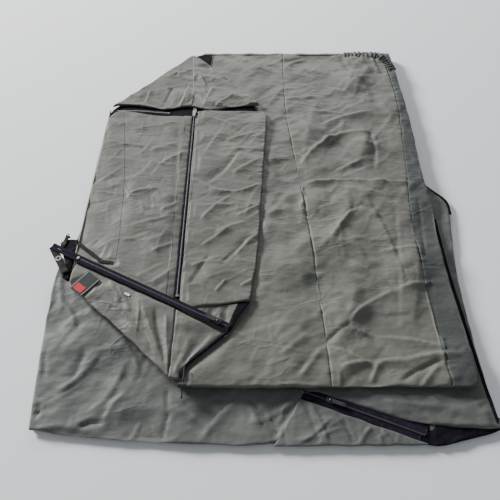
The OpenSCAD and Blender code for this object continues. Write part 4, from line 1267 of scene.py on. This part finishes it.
def makeSmall():
    spec = small["hang"]
    for name, path, less, drop, wave in (("hangTapeLong", spec["first"], 0, 0, 0.2),
                                         ("hangTapeShort", spec["second"], 0.5, 0.4, 0.1)):
        strap = tape(name, path, spec["width"] - less, spec["thick"], spec["z"] - drop, "webbing", wave, 3)
        finish(strap, "webbing", "hood", "hang_tape")
    spec = small["tag"]
    a = np.array(spec["at"], float)
    way = np.array([math.cos(math.radians(spec["turn"])), math.sin(math.radians(spec["turn"]))])
    obj = tape("careTagSatin", [tuple(a), tuple(a + spec["length"] * way)], spec["width"], spec["thick"],
               spec["z"],
               "careTag", 0.0, 1.5)
    finish(obj, "care_tag", "peak", "care_tag")
    spec = small["label"]
    turn = math.radians(spec["turn"])
    way = np.array([math.cos(turn), math.sin(turn)])
    side = np.array([-math.sin(turn), math.cos(turn)])
    at = np.array(spec["at"], float)

    def curled(x, y):
        # the free end lifts with the cube of the distance from the sewn end, in a slight ripple
        along = (x - at[0]) * way[0] + (y - at[1]) * way[1]
        across = (x - at[0]) * side[0] + (y - at[1]) * side[1]
        return spec["curl"] * (along / spec["length"]) ** 3 + 0.25 * np.sin(across * 0.16)

    def slab(name, s0, s1, t0, t1, z, thick, paint):
        # a thin woven rectangle from s0 to s1 along the label and t0 to t1 across it
        corners = [(s0, t0), (s0, t1), (s1, t1), (s1, t0)]
        p = [tuple(at + s * way + t * side) for s, t in corners]
        obj = pillow(name, [[p[0], p[3]], [p[3], p[2]], [p[1], p[2]], [p[0], p[1]]], z, z + thick, thick * 0.6,
                     paint, across=2.5, along=2.5, passes=0, sag=curled)
        pointOut(obj)
        return obj
    half, top = spec["width"] / 2, spec["z"] + spec["thick"]
    obj = slab("labelCloth", 0, spec["length"], -half, half, spec["z"], spec["thick"], "label")
    finish(obj, "label", "label", "label_base")
    s0, s1, t0, t1 = spec["badge"]
    obj = slab("labelBadgePatch", s0, s1, t0, t1, top - 0.1, spec["badgeThick"], "badge")
    finish(obj, "badge", "label", "label_badge")
    for k, t in enumerate((-half + spec["edge"], half - spec["edge"])):
        reach = spec["edgeWidth"] / 2
        obj = slab(f"labelEdge{k}", 1, spec["length"] - 1, t - reach, t + reach, top - 0.15, spec["edgeThick"],
                   "paleThread")
        finish(obj, "label", "label")


makeHoodTrims()
makeHoodFold()
makeCorner()
makeSmall()
print("corner, straps and label made")


kept = dict(  # the CAD pieces that stay, under the paint that each one takes
    steel=["front_slider", "front_puller", "front_stop", "band_stop", "entry_stop"],
    nickel=["eyelet", "d_ring"],
    blackMetal=["entry_slider", "entry_puller", "band_slider", "band_puller"],
    plastic=["lock_body", "lock_button"],
    cord=["cord_end"],
)
for paint, names in kept.items():
    for name in names:
        for place in nodes[name].material_slots:
            place.material = paints[paint]
print("CAD pieces painted")
